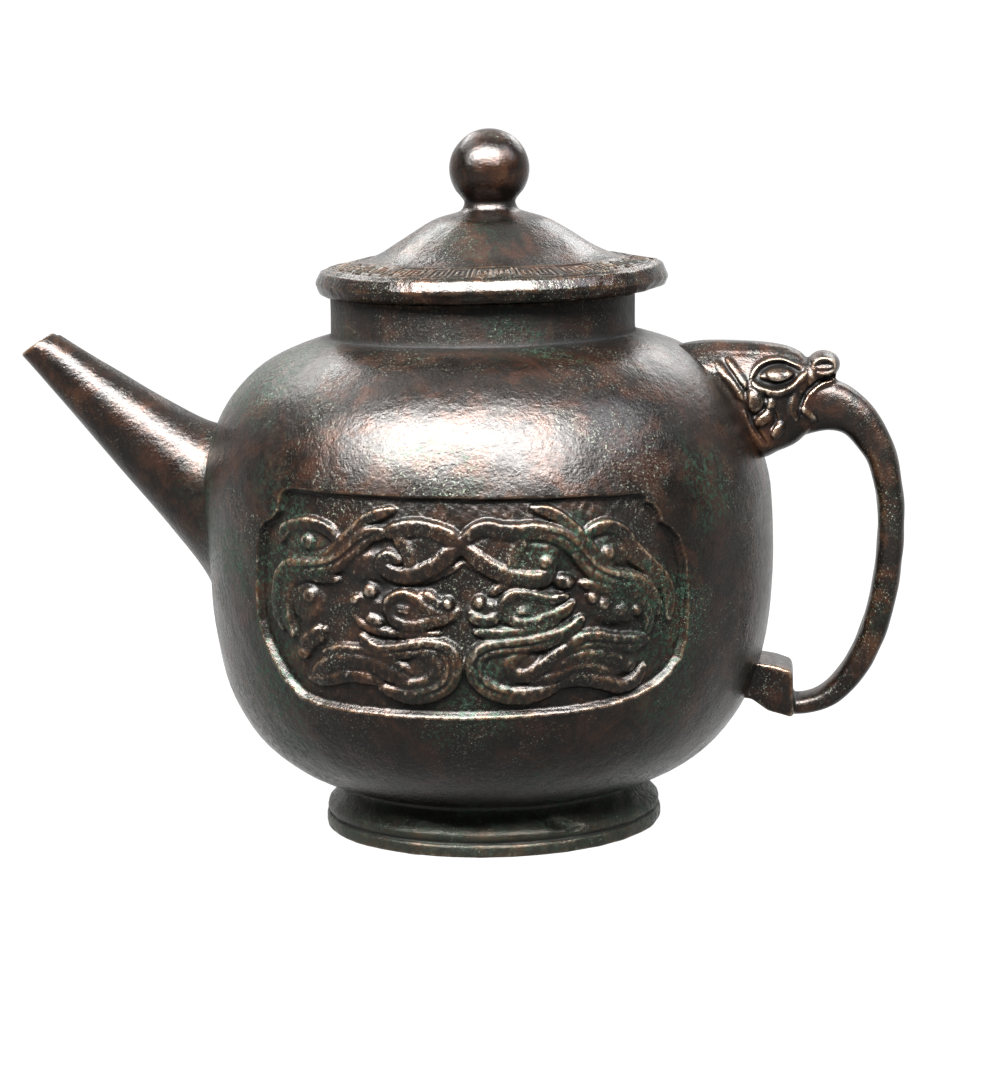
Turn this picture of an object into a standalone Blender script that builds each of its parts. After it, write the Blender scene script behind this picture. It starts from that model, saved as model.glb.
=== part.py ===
"""A small cast bronze ewer with a dragon-head handle.

The round belly carries a sunk panel of two confronting dragons in front and a plainer one behind.
A straight spout rises on the left (-X), a loop handle springs from a dragon's mouth on the right (+X)
and a domed lid with a ball knob rests on the neck. Sizes are in metres and +Z is up. The ewer stands
on z = 0 and its panel faces -Y. The parts are modelled about the axis of the belly, which an empty
then places so that the origin is below the middle of the whole ewer.
"""

import math

import bmesh
import bpy
from mathutils import Vector

# Clearance between neighbouring castings
SEAM = 0.0003

# Belly: a turned form, fuller above its widest ring than below
BELLY_RADIUS = 0.0649
WIDEST_Z = 0.0775
SHOULDER_HEIGHT = 0.0371
SHOULDER_BEND = 1.6
SHOULDER_FULLNESS = 4.58
BASE_DEPTH = 0.0697
BASE_BEND = 3.43
BASE_FULLNESS = 3.3
WALL = 0.0026
BELLY_SWAY = 0.0008
BELLY_SWAY_BIAS = 1.8
BELLY_SIDES = 36

# Neck
NECK_RADIUS = 0.0347
NECK_HEIGHT = 0.0095
NECK_WALL = 0.0025
NECK_FILLET = 0.0007

# Foot ring
FOOT_RADIUS = 0.0388
FOOT_BAND_HEIGHT = 0.0027
FOOT_GROOVE = 0.0007
FOOT_WAIST = 0.0346
FOOT_RING_THICKNESS = 0.0050
FOOT_RECESS_DEPTH = 0.0078
FOOT_EDGE_ROUND = 0.0005
FOOT_COLLAR_HEIGHT = 0.0018
FLOOR_THICKNESS = 0.0032

# Sunk panels
PANEL_WIDTH = 0.1056
PANEL_HEIGHT = 0.0476
PANEL_TOP_ABOVE_WIDEST = 0.0075
PANEL_DEPTH = 0.0015
PANEL_CORNER = 0.0105
PANEL_NOTCH = 0.0072
RELIEF_HEIGHT = 0.0015

# Spout
SPOUT_ANGLE = math.radians(41.3)
SPOUT_PROJECTION = 0.0387
SPOUT_TIP_ABOVE_WIDEST = 0.0347
SPOUT_TIP_RADIUS = 0.0044
SPOUT_ROOT_RADIUS = 0.0124
SPOUT_TIP_WALL = 0.0016
SPOUT_ROOT_WALL = 0.0030
SPOUT_MOUTH_SKEW = math.radians(15.5)
SPOUT_ROOT_FLARE = 0.0022
SPOUT_SIDES = 32

# Handle
HANDLE_PROJECTION = 0.0307
HANDLE_HEIGHT = 0.0863
HANDLE_DEPTH = 0.0098
HEAD_HALF_WIDTH = 0.0100
LUG_DEPTH = 0.0164

# Lid
LID_RADIUS = 0.0401
LID_OFFSET = 0.0022
LID_WALL = 0.0024
LID_EDGE_HEIGHT = 0.0052
LID_EDGE_WIDTH = 0.0026
LID_EDGE_ROUND = 0.0009
LID_BAND_WIDTH = 0.0086
LID_BAND_RISE = 0.0022
DOME_HEIGHT = 0.0122
KNOB_RADIUS = 0.0091
KNOB_STEM_RADIUS = 0.0063
KNOB_STEM_HEIGHT = 0.0014
KNOB_STEM_GROOVE = 0.0004
FLANGE_CLEARANCE = 0.0027
FLANGE_WALL = 0.0020
FLANGE_DEPTH = 0.0070
LID_SIDES = 30


def belly_radius(z):
    """Radius of the belly's outer surface at height z."""
    if z >= WIDEST_Z:
        share = (z - WIDEST_Z) / SHOULDER_HEIGHT
        bend, fullness = SHOULDER_BEND, SHOULDER_FULLNESS
    else:
        share = (WIDEST_Z - z) / BASE_DEPTH
        bend, fullness = BASE_BEND, BASE_FULLNESS
    return BELLY_RADIUS * max(0.0, 1.0 - share**bend) ** (1.0 / fullness)


def shoulder_z(radius):
    """Height at which the shoulder has this radius."""
    share = (1.0 - (radius / BELLY_RADIUS) ** SHOULDER_FULLNESS) ** (1.0 / SHOULDER_BEND)
    return WIDEST_Z + SHOULDER_HEIGHT * share


def base_z(radius):
    """Height at which the belly's underside has this radius."""
    share = (1.0 - (radius / BELLY_RADIUS) ** BASE_FULLNESS) ** (1.0 / BASE_BEND)
    return WIDEST_Z - BASE_DEPTH * share


NECK_BASE_Z = shoulder_z(NECK_RADIUS + NECK_FILLET)
NECK_TOP_Z = NECK_BASE_Z + NECK_HEIGHT
FOOT_TOP_Z = base_z(FOOT_WAIST)


def sway(z):
    """How far the hand-made belly is out of true here: toward the handle low down, the spout high up."""
    share = (z - FOOT_TOP_Z) / (NECK_BASE_Z - FOOT_TOP_Z)
    return BELLY_SWAY * math.sin(2 * math.pi * min(1.0, max(0.0, share)) ** BELLY_SWAY_BIAS)


PANEL_TOP_Z = WIDEST_Z + PANEL_TOP_ABOVE_WIDEST
PANEL_MIDDLE_Z = PANEL_TOP_Z - PANEL_HEIGHT / 2


def material(name, colour, roughness):
    """A Principled metal of this colour, given as linear red, green and blue."""
    made = bpy.data.materials.new(name)
    made.use_nodes = True
    shader = made.node_tree.nodes["Principled BSDF"]
    shader.inputs["Base Color"].default_value = (*colour, 1.0)
    shader.inputs["Roughness"].default_value = roughness
    shader.inputs["Metallic"].default_value = 1.0
    return made


def make_object(name, bm, parent, surface=None):
    """The bmesh as an object of this name, with its faces pointing out."""
    bmesh.ops.recalc_face_normals(bm, faces=bm.faces)
    mesh = bpy.data.meshes.new(name)
    bm.to_mesh(mesh)
    bm.free()
    made = bpy.data.objects.new(name, mesh)
    bpy.context.collection.objects.link(made)
    made.parent = parent
    if surface:
        mesh.materials.append(surface)
        mesh.shade_smooth()
        mesh.set_sharp_from_angle(angle=math.radians(35))
    return made


def hide(helper):
    """Marks an object that only cuts or adds to another one."""
    helper.hide_render = True
    helper.display_type = "WIRE"
    return helper


def combine(target, helper, operation, overlapping=False):
    """Adds a Boolean of the hidden helper to the target."""
    modifier = target.modifiers.new(helper.name, "BOOLEAN")
    modifier.operation = operation
    modifier.object = hide(helper)
    modifier.solver = "EXACT"
    modifier.use_self = overlapping


def turned(bm, profile, sides):
    """Spins a profile of (radius, z) points about Z."""
    verts = [bm.verts.new((radius, 0.0, z)) for radius, z in profile]
    edges = [bm.edges.new(pair) for pair in zip(verts, verts[1:])]
    bmesh.ops.spin(
        bm, geom=verts + edges, cent=(0, 0, 0), axis=(0, 0, 1), angle=2 * math.pi, steps=sides
    )
    bmesh.ops.remove_doubles(bm, verts=bm.verts, dist=1e-6)


def turned_belly(bm, profile):
    """Spins a profile and sets the belly as far out of true as the casting is."""
    turned(bm, profile, BELLY_SIDES)
    for vert in bm.verts:
        vert.co.x += sway(vert.co.z)


def loft(bm, rings):
    """Skins a row of rings of equally many points and closes both ends, in flat triangles."""
    loops = [[bm.verts.new(point) for point in ring] for ring in rings]
    faces = []
    for before, after in zip(loops, loops[1:]):
        for i in range(len(before)):
            j = (i + 1) % len(before)
            faces.append(bm.faces.new((before[i], before[j], after[j], after[i])))
    faces.append(bm.faces.new(loops[0][::-1]))
    faces.append(bm.faces.new(loops[-1]))
    bmesh.ops.triangulate(bm, faces=faces)


def smooth_line(points, steps):
    """A Catmull-Rom curve through points of any dimension, with this many steps a span."""
    points = [Vector(point) for point in points]
    ends = [2 * points[0] - points[1], *points, 2 * points[-1] - points[-2]]
    line = []
    for a, b, c, d in zip(ends, ends[1:], ends[2:], ends[3:]):
        for step in range(steps):
            t = step / steps
            line.append(
                0.5
                * (
                    2 * b
                    + (c - a) * t
                    + (2 * a - 5 * b + 4 * c - d) * t**2
                    + (3 * b - a - 3 * c + d) * t**3
                )
            )
    return [*line, points[-1]]


def superellipse(half_width, half_height, exponent, sides):
    """Points of a rounded rectangle, counted round from the +width side."""
    ring = []
    for i in range(sides):
        angle = 2 * math.pi * (i + 0.5) / sides
        cosine = math.cos(angle)
        sine = math.sin(angle)
        across = half_width * math.copysign(abs(cosine) ** (2 / exponent), cosine)
        up = half_height * math.copysign(abs(sine) ** (2 / exponent), sine)
        ring.append((across, up))
    return ring


def belly_outline(outset=0.0, lower=6, upper=8):
    """The belly from the foot up to the neck, moved out along its normals."""
    low_share = (WIDEST_Z - FOOT_TOP_Z) / BASE_DEPTH
    high_share = (NECK_BASE_Z - WIDEST_Z) / SHOULDER_HEIGHT
    low_start = math.asin(low_share ** (BASE_BEND / 2))
    high_end = math.asin(high_share ** (SHOULDER_BEND / 2))
    heights = []
    for i in range(lower):
        sine = math.sin(low_start * (1 - i / lower))
        heights.append(WIDEST_Z - BASE_DEPTH * sine ** (2 / BASE_BEND))
    for i in range(upper + 1):
        sine = math.sin(high_end * i / upper)
        heights.append(WIDEST_Z + SHOULDER_HEIGHT * sine ** (2 / SHOULDER_BEND))
    outline = []
    step = BELLY_RADIUS / 1000
    for z in heights:
        slope = (belly_radius(z + step) - belly_radius(z - step)) / (2 * step)
        length = math.hypot(1.0, slope)
        outline.append((belly_radius(z) + outset / length, z - outset * slope / length))
    return outline


def foot_outline():
    """The foot from the middle of its recess, round its ring and up to the belly."""
    inner = FOOT_RADIUS - FOOT_RING_THICKNESS
    collar = FOOT_RADIUS - FOOT_GROOVE / 3
    collar_z = FOOT_BAND_HEIGHT + FOOT_COLLAR_HEIGHT
    cove = collar + (FOOT_WAIST - collar) * 0.42
    cove_z = collar_z + (FOOT_TOP_Z - collar_z) * 0.35
    return [
        (0.0, FOOT_RECESS_DEPTH),
        (inner - 3 * FOOT_EDGE_ROUND, FOOT_RECESS_DEPTH),
        (inner, FOOT_RECESS_DEPTH - 2 * FOOT_EDGE_ROUND),
        (inner, 0.0),
        (FOOT_RADIUS - FOOT_EDGE_ROUND, 0.0),
        (FOOT_RADIUS, FOOT_EDGE_ROUND),
        (FOOT_RADIUS, FOOT_BAND_HEIGHT),
        (FOOT_RADIUS - FOOT_GROOVE, FOOT_BAND_HEIGHT + FOOT_GROOVE / 2),
        (collar, collar_z),
        (cove, cove_z),
    ]


def vessel_profile():
    """Outside from the foot up to the mouth, then inside down to the floor."""
    outside = belly_outline()
    neck = [
        (NECK_RADIUS, NECK_BASE_Z + NECK_FILLET),
        (NECK_RADIUS, NECK_TOP_Z),
        (NECK_RADIUS - NECK_WALL, NECK_TOP_Z),
    ]
    floor_z = FOOT_RECESS_DEPTH + FLOOR_THICKNESS
    inside = []
    for radius, z in belly_outline(outset=-WALL, lower=3, upper=4):
        if z > floor_z + WALL and radius > NECK_RADIUS - NECK_WALL:
            inside.append((radius, z))
    throat = (NECK_RADIUS - NECK_WALL, inside[-1][1] + WALL / 4)
    floor_edge = (min(FOOT_WAIST, inside[0][0]) - WALL, floor_z)
    return [*foot_outline(), *outside, *neck, throat, *reversed(inside), floor_edge, (0.0, floor_z)]


def panel_outline():
    """The panel's edge as (distance round the belly, height) about its middle."""
    half_width = PANEL_WIDTH / 2
    half_height = PANEL_HEIGHT / 2
    side = [(0.0, -half_height)]
    for i in range(5):
        angle = math.pi / 2 * i / 4
        side.append(
            (
                half_width - PANEL_CORNER * (1 - math.sin(angle)),
                -half_height + PANEL_CORNER * (1 - math.cos(angle)),
            )
        )
    # The top corner steps in twice, as two small lobes that meet in a cusp
    side.append((half_width, half_height - 1.75 * PANEL_NOTCH))
    side.append((half_width - 0.25 * PANEL_NOTCH, half_height - 1.3 * PANEL_NOTCH))
    side.append((half_width - 0.85 * PANEL_NOTCH, half_height - PANEL_NOTCH))
    side.append((half_width - PANEL_NOTCH, half_height - 0.55 * PANEL_NOTCH))
    side.append((half_width - 1.3 * PANEL_NOTCH, half_height))
    side.append((0.0, half_height))
    other = [(-across, up) for across, up in side[-2:0:-1]]
    return side + other


def on_belly(across, up, proud, facing):
    """A point round and up from a panel's middle and out from its ground. Facing: 1 front, -1 back."""
    z = PANEL_MIDDLE_Z + up
    radius = belly_radius(z) - PANEL_DEPTH + proud
    angle = across / BELLY_RADIUS
    out = Vector((math.sin(angle), -math.cos(angle), 0.0)) * facing * radius
    return out + Vector((sway(z), 0.0, z))


def panel_cutter(parent, name):
    """A block over the panel whose back follows the panel's curved ground."""
    bm = bmesh.new()
    rings = []
    for distance in (BELLY_RADIUS / 4, 1.2 * BELLY_RADIUS):
        ring = []
        for across, up in panel_outline():
            angle = across / BELLY_RADIUS
            ring.append((distance * math.tan(angle), -distance, PANEL_MIDDLE_Z + up))
        rings.append(ring)
    loft(bm, rings)
    cutter = make_object(name, bm, parent)
    ground = bmesh.new()
    outline = belly_outline(outset=-PANEL_DEPTH)
    turned_belly(ground, [(0.0, outline[0][1]), *outline, (0.0, outline[-1][1])])
    combine(cutter, make_object(name + "_ground", ground, parent), "DIFFERENCE")
    return cutter


# The dragons, drawn in millimetres from the middle of a panel 105.6 wide and 47.6 high.
# A stroke is its half width, its height as a share of the relief, and the points it runs through.
DRAWN_WIDTH = 105.6
DRAWN_HEIGHT = 47.6
MAIN_STROKES = [
    # Left dragon: crossing body, neck, hind band
    (2.0, 1.00, [(-1, 14), (-7, 17), (-15, 16.5), (-22, 14.5), (-29, 9.3), (-38, 7.4), (-45, 4), (-46, -6)]),
    (1.8, 0.96, [(-23, -7.4), (-18, -9.7), (-9, -8.6), (-3, -11), (-4, -16), (-10, -19.2), (-19, -18)]),
    (1.6, 0.88, [(-34, -11.5), (-26, -10.4), (-19, -11.9), (-11, -15.6)]),
    # Right dragon: crossing body, neck, hind band
    (2.0, 0.98, [(1, 15.6), (8, 16.6), (17, 16), (24, 12.5), (29, 6), (38, 3.6), (42, -1), (43, -6)]),
    (1.8, 0.94, [(23, -5), (17, -8), (6, -9), (2, -12), (4, -17), (12, -19), (20, -17), (39, -17)]),
    (1.6, 0.90, [(14, -14), (21, -11), (29, -8.2), (39, -9.4)]),
]
MINOR_STROKES = [
    # Left half: lower arc, whisker, arch, snout and brow, jaw, tail
    (1.1, 0.82, [(-2.7, 12), (-6, 9), (-12, 7), (-17.3, 9.3), (-15.6, 11)]),
    (0.9, 0.76, [(-14.6, 21.2), (-21, 18.8), (-27.5, 13.4), (-33, 10.2)]),
    (1.1, 0.84, [(-44, 13.8), (-39, 16.6), (-33.5, 16.8), (-29.4, 14)]),
    (1.2, 0.92, [(-16.4, 2), (-12.6, 2.9), (-9.4, 1), (-4.6, 0.8)]),
    (1.1, 0.80, [(-17, -1.6), (-13, -3.6), (-8, -3), (-3.2, -2.4)]),
    (0.9, 0.78, [(-37.5, -16.4), (-31, -16.2), (-25, -15.2), (-19, -17)]),
    # Right half: lower arc, whisker, arch, snout and brow, jaw, inner flank
    (1.1, 0.83, [(1.8, 12), (5, 9.2), (13, 5.9), (19.6, 8.6)]),
    (0.9, 0.74, [(15.8, 20.9), (21, 19.2), (27.2, 13.6)]),
    (1.1, 0.86, [(28.5, 15.5), (34, 14.6), (39, 8.6), (45, 3), (46.6, -5)]),
    (1.2, 0.93, [(3, 1.6), (7.4, 1.2), (11, 2.8), (21, 1.6)]),
    (1.1, 0.81, [(2, -5.2), (10, -5.5), (19, -4.4)]),
    (0.9, 0.73, [(25.5, 4), (33, 2), (40, -2.4)]),
]
# Round bosses, in front only: radius, height as a share of the relief, place
BOSSES = [
    (2.3, 0.95, (-36, 13)),
    (2.2, 0.93, (-36.5, 1.6)),
    (2.3, 0.97, (31.3, 10.3)),
    (2.0, 1.02, (-3.8, 1.3)),
    (2.4, 0.85, (-20.4, -2.6)),
    (2.2, 0.91, (-39.3, -11.8)),
    (2.2, 0.94, (2.9, 1.2)),
    (2.0, 0.86, (21, 5)),
    (2.6, 0.92, (30.6, -1.8)),
    (1.8, 0.87, (35.8, -14)),
]
# How far the raised work reaches into the wall below the ground
STROKE_ROOT = 0.8 * (WALL - PANEL_DEPTH)
BOSS_SIDES = 6


def drawn(point):
    """A point of the drawing at the panel's real size."""
    return point[0] * PANEL_WIDTH / DRAWN_WIDTH, point[1] * PANEL_HEIGHT / DRAWN_HEIGHT


def add_stroke(bm, half_width, share, points, facing):
    """A raised band that tapers to its ends."""
    steps = 2 if len(points) > 4 and facing > 0 else 1
    line = smooth_line([drawn(point) for point in points], steps)
    rings = []
    last = len(line) - 1
    for i, point in enumerate(line):
        ahead = line[min(i + 1, last)] - line[max(i - 1, 0)]
        side = Vector((-ahead.y, ahead.x)).normalized()
        taper = 0.45 if i in (0, last) else 1.0
        half = half_width * taper * PANEL_WIDTH / DRAWN_WIDTH
        proud = RELIEF_HEIGHT * share * (0.8 if i in (0, last) else 1.0)
        ring = []
        for offset, height in ((-1, -STROKE_ROOT), (-0.45, proud), (0.45, proud), (1, -STROKE_ROOT)):
            place = point + side * offset * half
            ring.append(on_belly(place.x, place.y, height, facing))
        rings.append(ring)
    loft(bm, rings)


def add_boss(bm, radius, share, point, facing):
    """A low round boss with a flattened crown."""
    middle = Vector(drawn(point))
    size = radius * PANEL_WIDTH / DRAWN_WIDTH
    rings = []
    for spread, height in ((1.0, -STROKE_ROOT), (0.86, 0.62), (0.42, 1.0)):
        proud = height if height < 0 else height * share * RELIEF_HEIGHT
        ring = []
        for i in range(BOSS_SIDES):
            angle = 2 * math.pi * (i + 0.5) / BOSS_SIDES
            offset = Vector((math.cos(angle), math.sin(angle))) * size * spread
            ring.append(on_belly(middle.x + offset.x, middle.y + offset.y, proud, facing))
        rings.append(ring)
    loft(bm, rings)


def relief(parent, name, strokes, bosses, facing):
    """A panel's raised work."""
    bm = bmesh.new()
    for half_width, share, points in strokes:
        add_stroke(bm, half_width, share, points, facing)
    for radius, share, point in bosses:
        add_boss(bm, radius, share, point, facing)
    return make_object(name, bm, parent)


SPOUT_AXIS = Vector((-math.cos(SPOUT_ANGLE), 0.0, math.sin(SPOUT_ANGLE)))
SPOUT_UP = Vector((math.sin(SPOUT_ANGLE), 0.0, math.cos(SPOUT_ANGLE)))
SPOUT_TIP = Vector((-BELLY_RADIUS - SPOUT_PROJECTION, 0.0, WIDEST_Z + SPOUT_TIP_ABOVE_WIDEST))
SPOUT_LENGTH = SPOUT_PROJECTION / math.cos(SPOUT_ANGLE)


def spout_ring(radius, back, skew=0.0):
    """A ring of the spout, this far back from the tip along its axis."""
    ring = []
    for i in range(SPOUT_SIDES):
        angle = 2 * math.pi * i / SPOUT_SIDES
        up = radius * math.cos(angle)
        across = Vector((0.0, radius * math.sin(angle), 0.0))
        along = back + up * math.tan(skew)
        ring.append(SPOUT_TIP - SPOUT_AXIS * along + SPOUT_UP * up + across)
    return ring


def bore_radius(back):
    """The bore's radius at a distance back from the tip."""
    tip = SPOUT_TIP_RADIUS - SPOUT_TIP_WALL
    root = SPOUT_ROOT_RADIUS - SPOUT_ROOT_WALL
    return tip + (root - tip) * min(1.0, back / SPOUT_LENGTH)


def spout_rings():
    """Outside rings from the root to the lip, then the bore's back to the root."""
    lip = SPOUT_TIP_WALL / 4
    taper = (SPOUT_ROOT_RADIUS - SPOUT_TIP_RADIUS) / SPOUT_LENGTH
    reach = SPOUT_LENGTH + 1.3 * SPOUT_ROOT_RADIUS
    flare_start = SPOUT_LENGTH - SPOUT_ROOT_RADIUS
    rings = []
    for share in (1.0, 0.75, 0.5, 0.25, 0.0):
        back = flare_start + (reach - flare_start) * share
        flare = SPOUT_ROOT_FLARE * share**2
        rings.append(spout_ring(SPOUT_TIP_RADIUS + taper * back + flare, back))
    rings.append(spout_ring(SPOUT_TIP_RADIUS + taper * lip, lip, SPOUT_MOUTH_SKEW))
    rings.append(spout_ring(SPOUT_TIP_RADIUS - lip, 0.0, SPOUT_MOUTH_SKEW))
    rings.append(spout_ring(bore_radius(0.0), 0.0, SPOUT_MOUTH_SKEW))
    rings.append(spout_ring(bore_radius(SPOUT_LENGTH), SPOUT_LENGTH))
    rings.append(spout_ring(bore_radius(reach), reach))
    return rings


def belly_block(parent, name, outset):
    """The belly as a solid body, this much larger all round."""
    bm = bmesh.new()
    outline = belly_outline(outset=outset)
    turned_belly(bm, [(0.0, outline[0][1]), *outline, (0.0, outline[-1][1])])
    return make_object(name, bm, parent)


def make_spout(parent, surface):
    bm = bmesh.new()
    rings = spout_rings()
    loops = [[bm.verts.new(point) for point in ring] for ring in rings]
    for before, after in zip(loops, loops[1:] + loops[:1]):
        for i in range(SPOUT_SIDES):
            j = (i + 1) % SPOUT_SIDES
            bm.faces.new((before[i], before[j], after[j], after[i]))
    spout = make_object("spout", bm, parent, surface)
    combine(spout, belly_block(parent, "spout_seat", SEAM), "DIFFERENCE")
    return spout


def make_vessel(parent, surface):
    bm = bmesh.new()
    turned_belly(bm, vessel_profile())
    vessel = make_object("vessel", bm, parent, surface)
    front = panel_cutter(parent, "front_panel")
    back = panel_cutter(parent, "back_panel")
    back.rotation_euler.z = math.pi
    combine(vessel, front, "DIFFERENCE")
    combine(vessel, back, "DIFFERENCE")
    dragons = relief(parent, "dragons", MAIN_STROKES + MINOR_STROKES, BOSSES, 1)
    combine(vessel, dragons, "UNION", overlapping=True)
    plainer = relief(parent, "back_relief", MAIN_STROKES, [], -1)
    combine(vessel, plainer, "UNION", overlapping=True)
    bore = bmesh.new()
    reach = SPOUT_LENGTH + 2.5 * SPOUT_ROOT_RADIUS
    radius = bore_radius(reach)
    loft(bore, [spout_ring(radius, SPOUT_LENGTH - SPOUT_ROOT_RADIUS), spout_ring(radius, reach)])
    combine(vessel, make_object("wall_hole", bore, parent), "DIFFERENCE")
    return vessel


# The handle is drawn in millimetres, out from the belly's widest ring and up from it, for a bar that
# stands 30.4 out and a handle 86.3 high. A bar station ends with the bar's thickness there.
DRAWN_PROJECTION = 30.4
DRAWN_HANDLE_HEIGHT = 86.3
BAR_STATIONS = [
    (5.0, 16.0, 14.0),
    (12.6, 18.7, 12.2),
    (19.2, 15.7, 9.4),
    (23.5, 10.0, 7.7),
    (26.1, 3.2, 6.6),
    (27.35, -7.2, 6.1),
    (26.6, -19.2, 6.1),
    (24.3, -30.4, 6.1),
    (21.0, -38.9, 6.0),
    (17.2, -44.7, 5.6),
    (12.6, -48.9, 5.0),
    (8.0, -50.5, 4.5),
    (3.6, -50.8, 4.3),
]
# Upright sections of the head: out, top, bottom and share of the head's half width
SKULL_STATIONS = [
    (-21.5, 32.3, 26.0, 0.50),
    (-16.0, 33.2, 21.0, 0.80),
    (-9.5, 33.3, 13.0, 0.97),
    (-3.0, 33.0, 6.4, 1.05),
    (2.0, 32.3, 7.8, 1.02),
    (5.6, 31.2, 9.4, 0.88),
    (8.0, 29.6, 10.6, 0.72),
]
SNOUT_STATIONS = [
    (4.0, 30.8, 19.6, 0.80),
    (8.5, 28.9, 20.6, 0.64),
    (12.2, 28.4, 22.4, 0.50),
    (15.4, 26.8, 24.0, 0.40),
]
# The lug's outer end, seen from the front
LUG_TOP = -39.8
LUG_BOTTOM = -52.2
LUG_END = 4.8
LUG_CORNER = 1.2
LUG_TUCK = 4.0


def at_wall(out, up, across=0.0):
    """A point of the handle, from drawn millimetres out of and above the belly's widest ring."""
    x = BELLY_RADIUS + out * HANDLE_PROJECTION / DRAWN_PROJECTION
    return Vector((x, across, WIDEST_Z + up * HANDLE_HEIGHT / DRAWN_HANDLE_HEIGHT))


def bar_rings():
    """Rounded sections along the bar, square to its middle line."""
    line = smooth_line(BAR_STATIONS, 2)
    rings = []
    last = len(line) - 1
    for i, (out, up, thickness) in enumerate(line):
        before = line[max(i - 1, 0)]
        after = line[min(i + 1, last)]
        ahead = Vector((after[0] - before[0], after[1] - before[1])).normalized()
        ring = []
        for across, rise in superellipse(HANDLE_DEPTH / 2, thickness / 2, 2.8, 10):
            ring.append(at_wall(out - ahead.y * rise, up + ahead.x * rise, across))
        rings.append(ring)
    return rings


def head_rings(stations, sides=12):
    """Upright sections of the skull or the snout."""
    rings = []
    for out, top, bottom, share in stations:
        ring = []
        for across, rise in superellipse(HEAD_HALF_WIDTH * share, (top - bottom) / 2, 3.2, sides):
            ring.append(at_wall(out, (top + bottom) / 2 + rise, across))
        rings.append(ring)
    return rings


def lug_outline(across):
    """The lug seen from the front, from inside the belly wall out to its end."""
    top = at_wall(LUG_END, LUG_TOP, across)
    bottom = at_wall(LUG_END, LUG_BOTTOM, across)
    tuck = at_wall(LUG_END, LUG_BOTTOM + LUG_TUCK, across)
    root = min(belly_radius(tuck.z), belly_radius(top.z)) - 4 * WALL
    return [
        Vector((root, across, tuck.z)),
        Vector((belly_radius(tuck.z), across, tuck.z)),
        at_wall(0.0, LUG_BOTTOM + LUG_TUCK / 3, across),
        bottom,
        at_wall(LUG_END, LUG_TOP - 2.5 * LUG_CORNER, across),
        at_wall(LUG_END - LUG_CORNER, LUG_TOP - LUG_CORNER, across),
        at_wall(0.0, LUG_TOP, across),
        Vector((root, across, top.z)),
    ]


def add_ball(bm, place, size, cuts=1):
    """A lump of the mane or an eyeball, as an ellipsoid."""
    made = bmesh.ops.create_icosphere(bm, subdivisions=cuts, radius=HEAD_HALF_WIDTH)
    for vert in made["verts"]:
        vert.co = place + Vector((vert.co.x * size[0], vert.co.y * size[1], vert.co.z * size[2]))


def add_ring(bm, place, radii, thickness, tilt, count=10, sides=4):
    """An oval rim that stands on the side of the head."""
    thickness *= HEAD_HALF_WIDTH
    radii = [radius * HEAD_HALF_WIDTH for radius in radii]
    loops = []
    for i in range(count):
        angle = 2 * math.pi * i / count
        out = Vector((math.cos(angle) * radii[0], 0.0, math.sin(angle) * radii[1]))
        normal = Vector((math.cos(angle), 0.0, math.sin(angle)))
        loop = []
        for j in range(sides):
            turn = 2 * math.pi * j / sides
            point = out + normal * math.cos(turn) * thickness
            point.y = math.sin(turn) * thickness
            turned_x = point.x * math.cos(tilt) - point.z * math.sin(tilt)
            turned_z = point.x * math.sin(tilt) + point.z * math.cos(tilt)
            loop.append(bm.verts.new(place + Vector((turned_x, point.y, turned_z))))
        loops.append(loop)
    for i, loop in enumerate(loops):
        other = loops[(i + 1) % count]
        for j in range(sides):
            k = (j + 1) % sides
            bm.faces.new((loop[j], loop[k], other[k], other[j]))


# Places on the head are drawn millimetres out and up, and sizes are shares of its half width
EYE_PLACE = (2.4, 25.6)
EYEBALL_SIZE = (0.33, 0.14, 0.19)
EYE_RIM_RADII = (0.50, 0.30)
EYE_RIM_THICKNESS = 0.10
NOSE_PLACE = (12.6, 26.9)
NOSE_HALF_WIDTH = 0.46
NOSE_CURL_RADII = (0.27, 0.17)
NOSE_CURL_THICKNESS = 0.11
FACE_TILT = math.radians(12)
# The mane's lumps: place and radius
MANE = [(-3.0, 20.4, 0.24), (0.2, 18.4, 0.17), (-1.4, 14.6, 0.21), (1.7, 12.8, 0.17)]


def add_face(bm, side):
    """Eye, nose curl and mane on one side of the head."""
    flank = side * HEAD_HALF_WIDTH
    eye = at_wall(*EYE_PLACE, flank)
    add_ball(bm, eye, EYEBALL_SIZE, cuts=2)
    add_ring(bm, eye, EYE_RIM_RADII, EYE_RIM_THICKNESS, FACE_TILT)
    nose = at_wall(*NOSE_PLACE, flank * NOSE_HALF_WIDTH)
    add_ring(bm, nose, NOSE_CURL_RADII, NOSE_CURL_THICKNESS, -FACE_TILT)
    for out, up, radius in MANE:
        add_ball(bm, at_wall(out, up, flank), (radius, radius * 0.75, radius))


def make_handle(parent, surface):
    bm = bmesh.new()
    loft(bm, head_rings(SKULL_STATIONS))
    handle = make_object("handle", bm, parent, surface)
    snout = bmesh.new()
    loft(snout, head_rings(SNOUT_STATIONS, 10))
    combine(handle, make_object("snout", snout, parent), "UNION")
    bar = bmesh.new()
    loft(bar, bar_rings())
    combine(handle, make_object("bar", bar, parent), "UNION")
    lug = bmesh.new()
    loft(lug, [lug_outline(side * LUG_DEPTH / 2) for side in (-1, 1)])
    combine(handle, make_object("lug", lug, parent), "UNION")
    face = bmesh.new()
    for side in (-1, 1):
        add_face(face, side)
    combine(handle, make_object("face", face, parent), "UNION", overlapping=True)
    combine(handle, belly_block(parent, "handle_seat", SEAM), "DIFFERENCE")
    return handle


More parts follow.
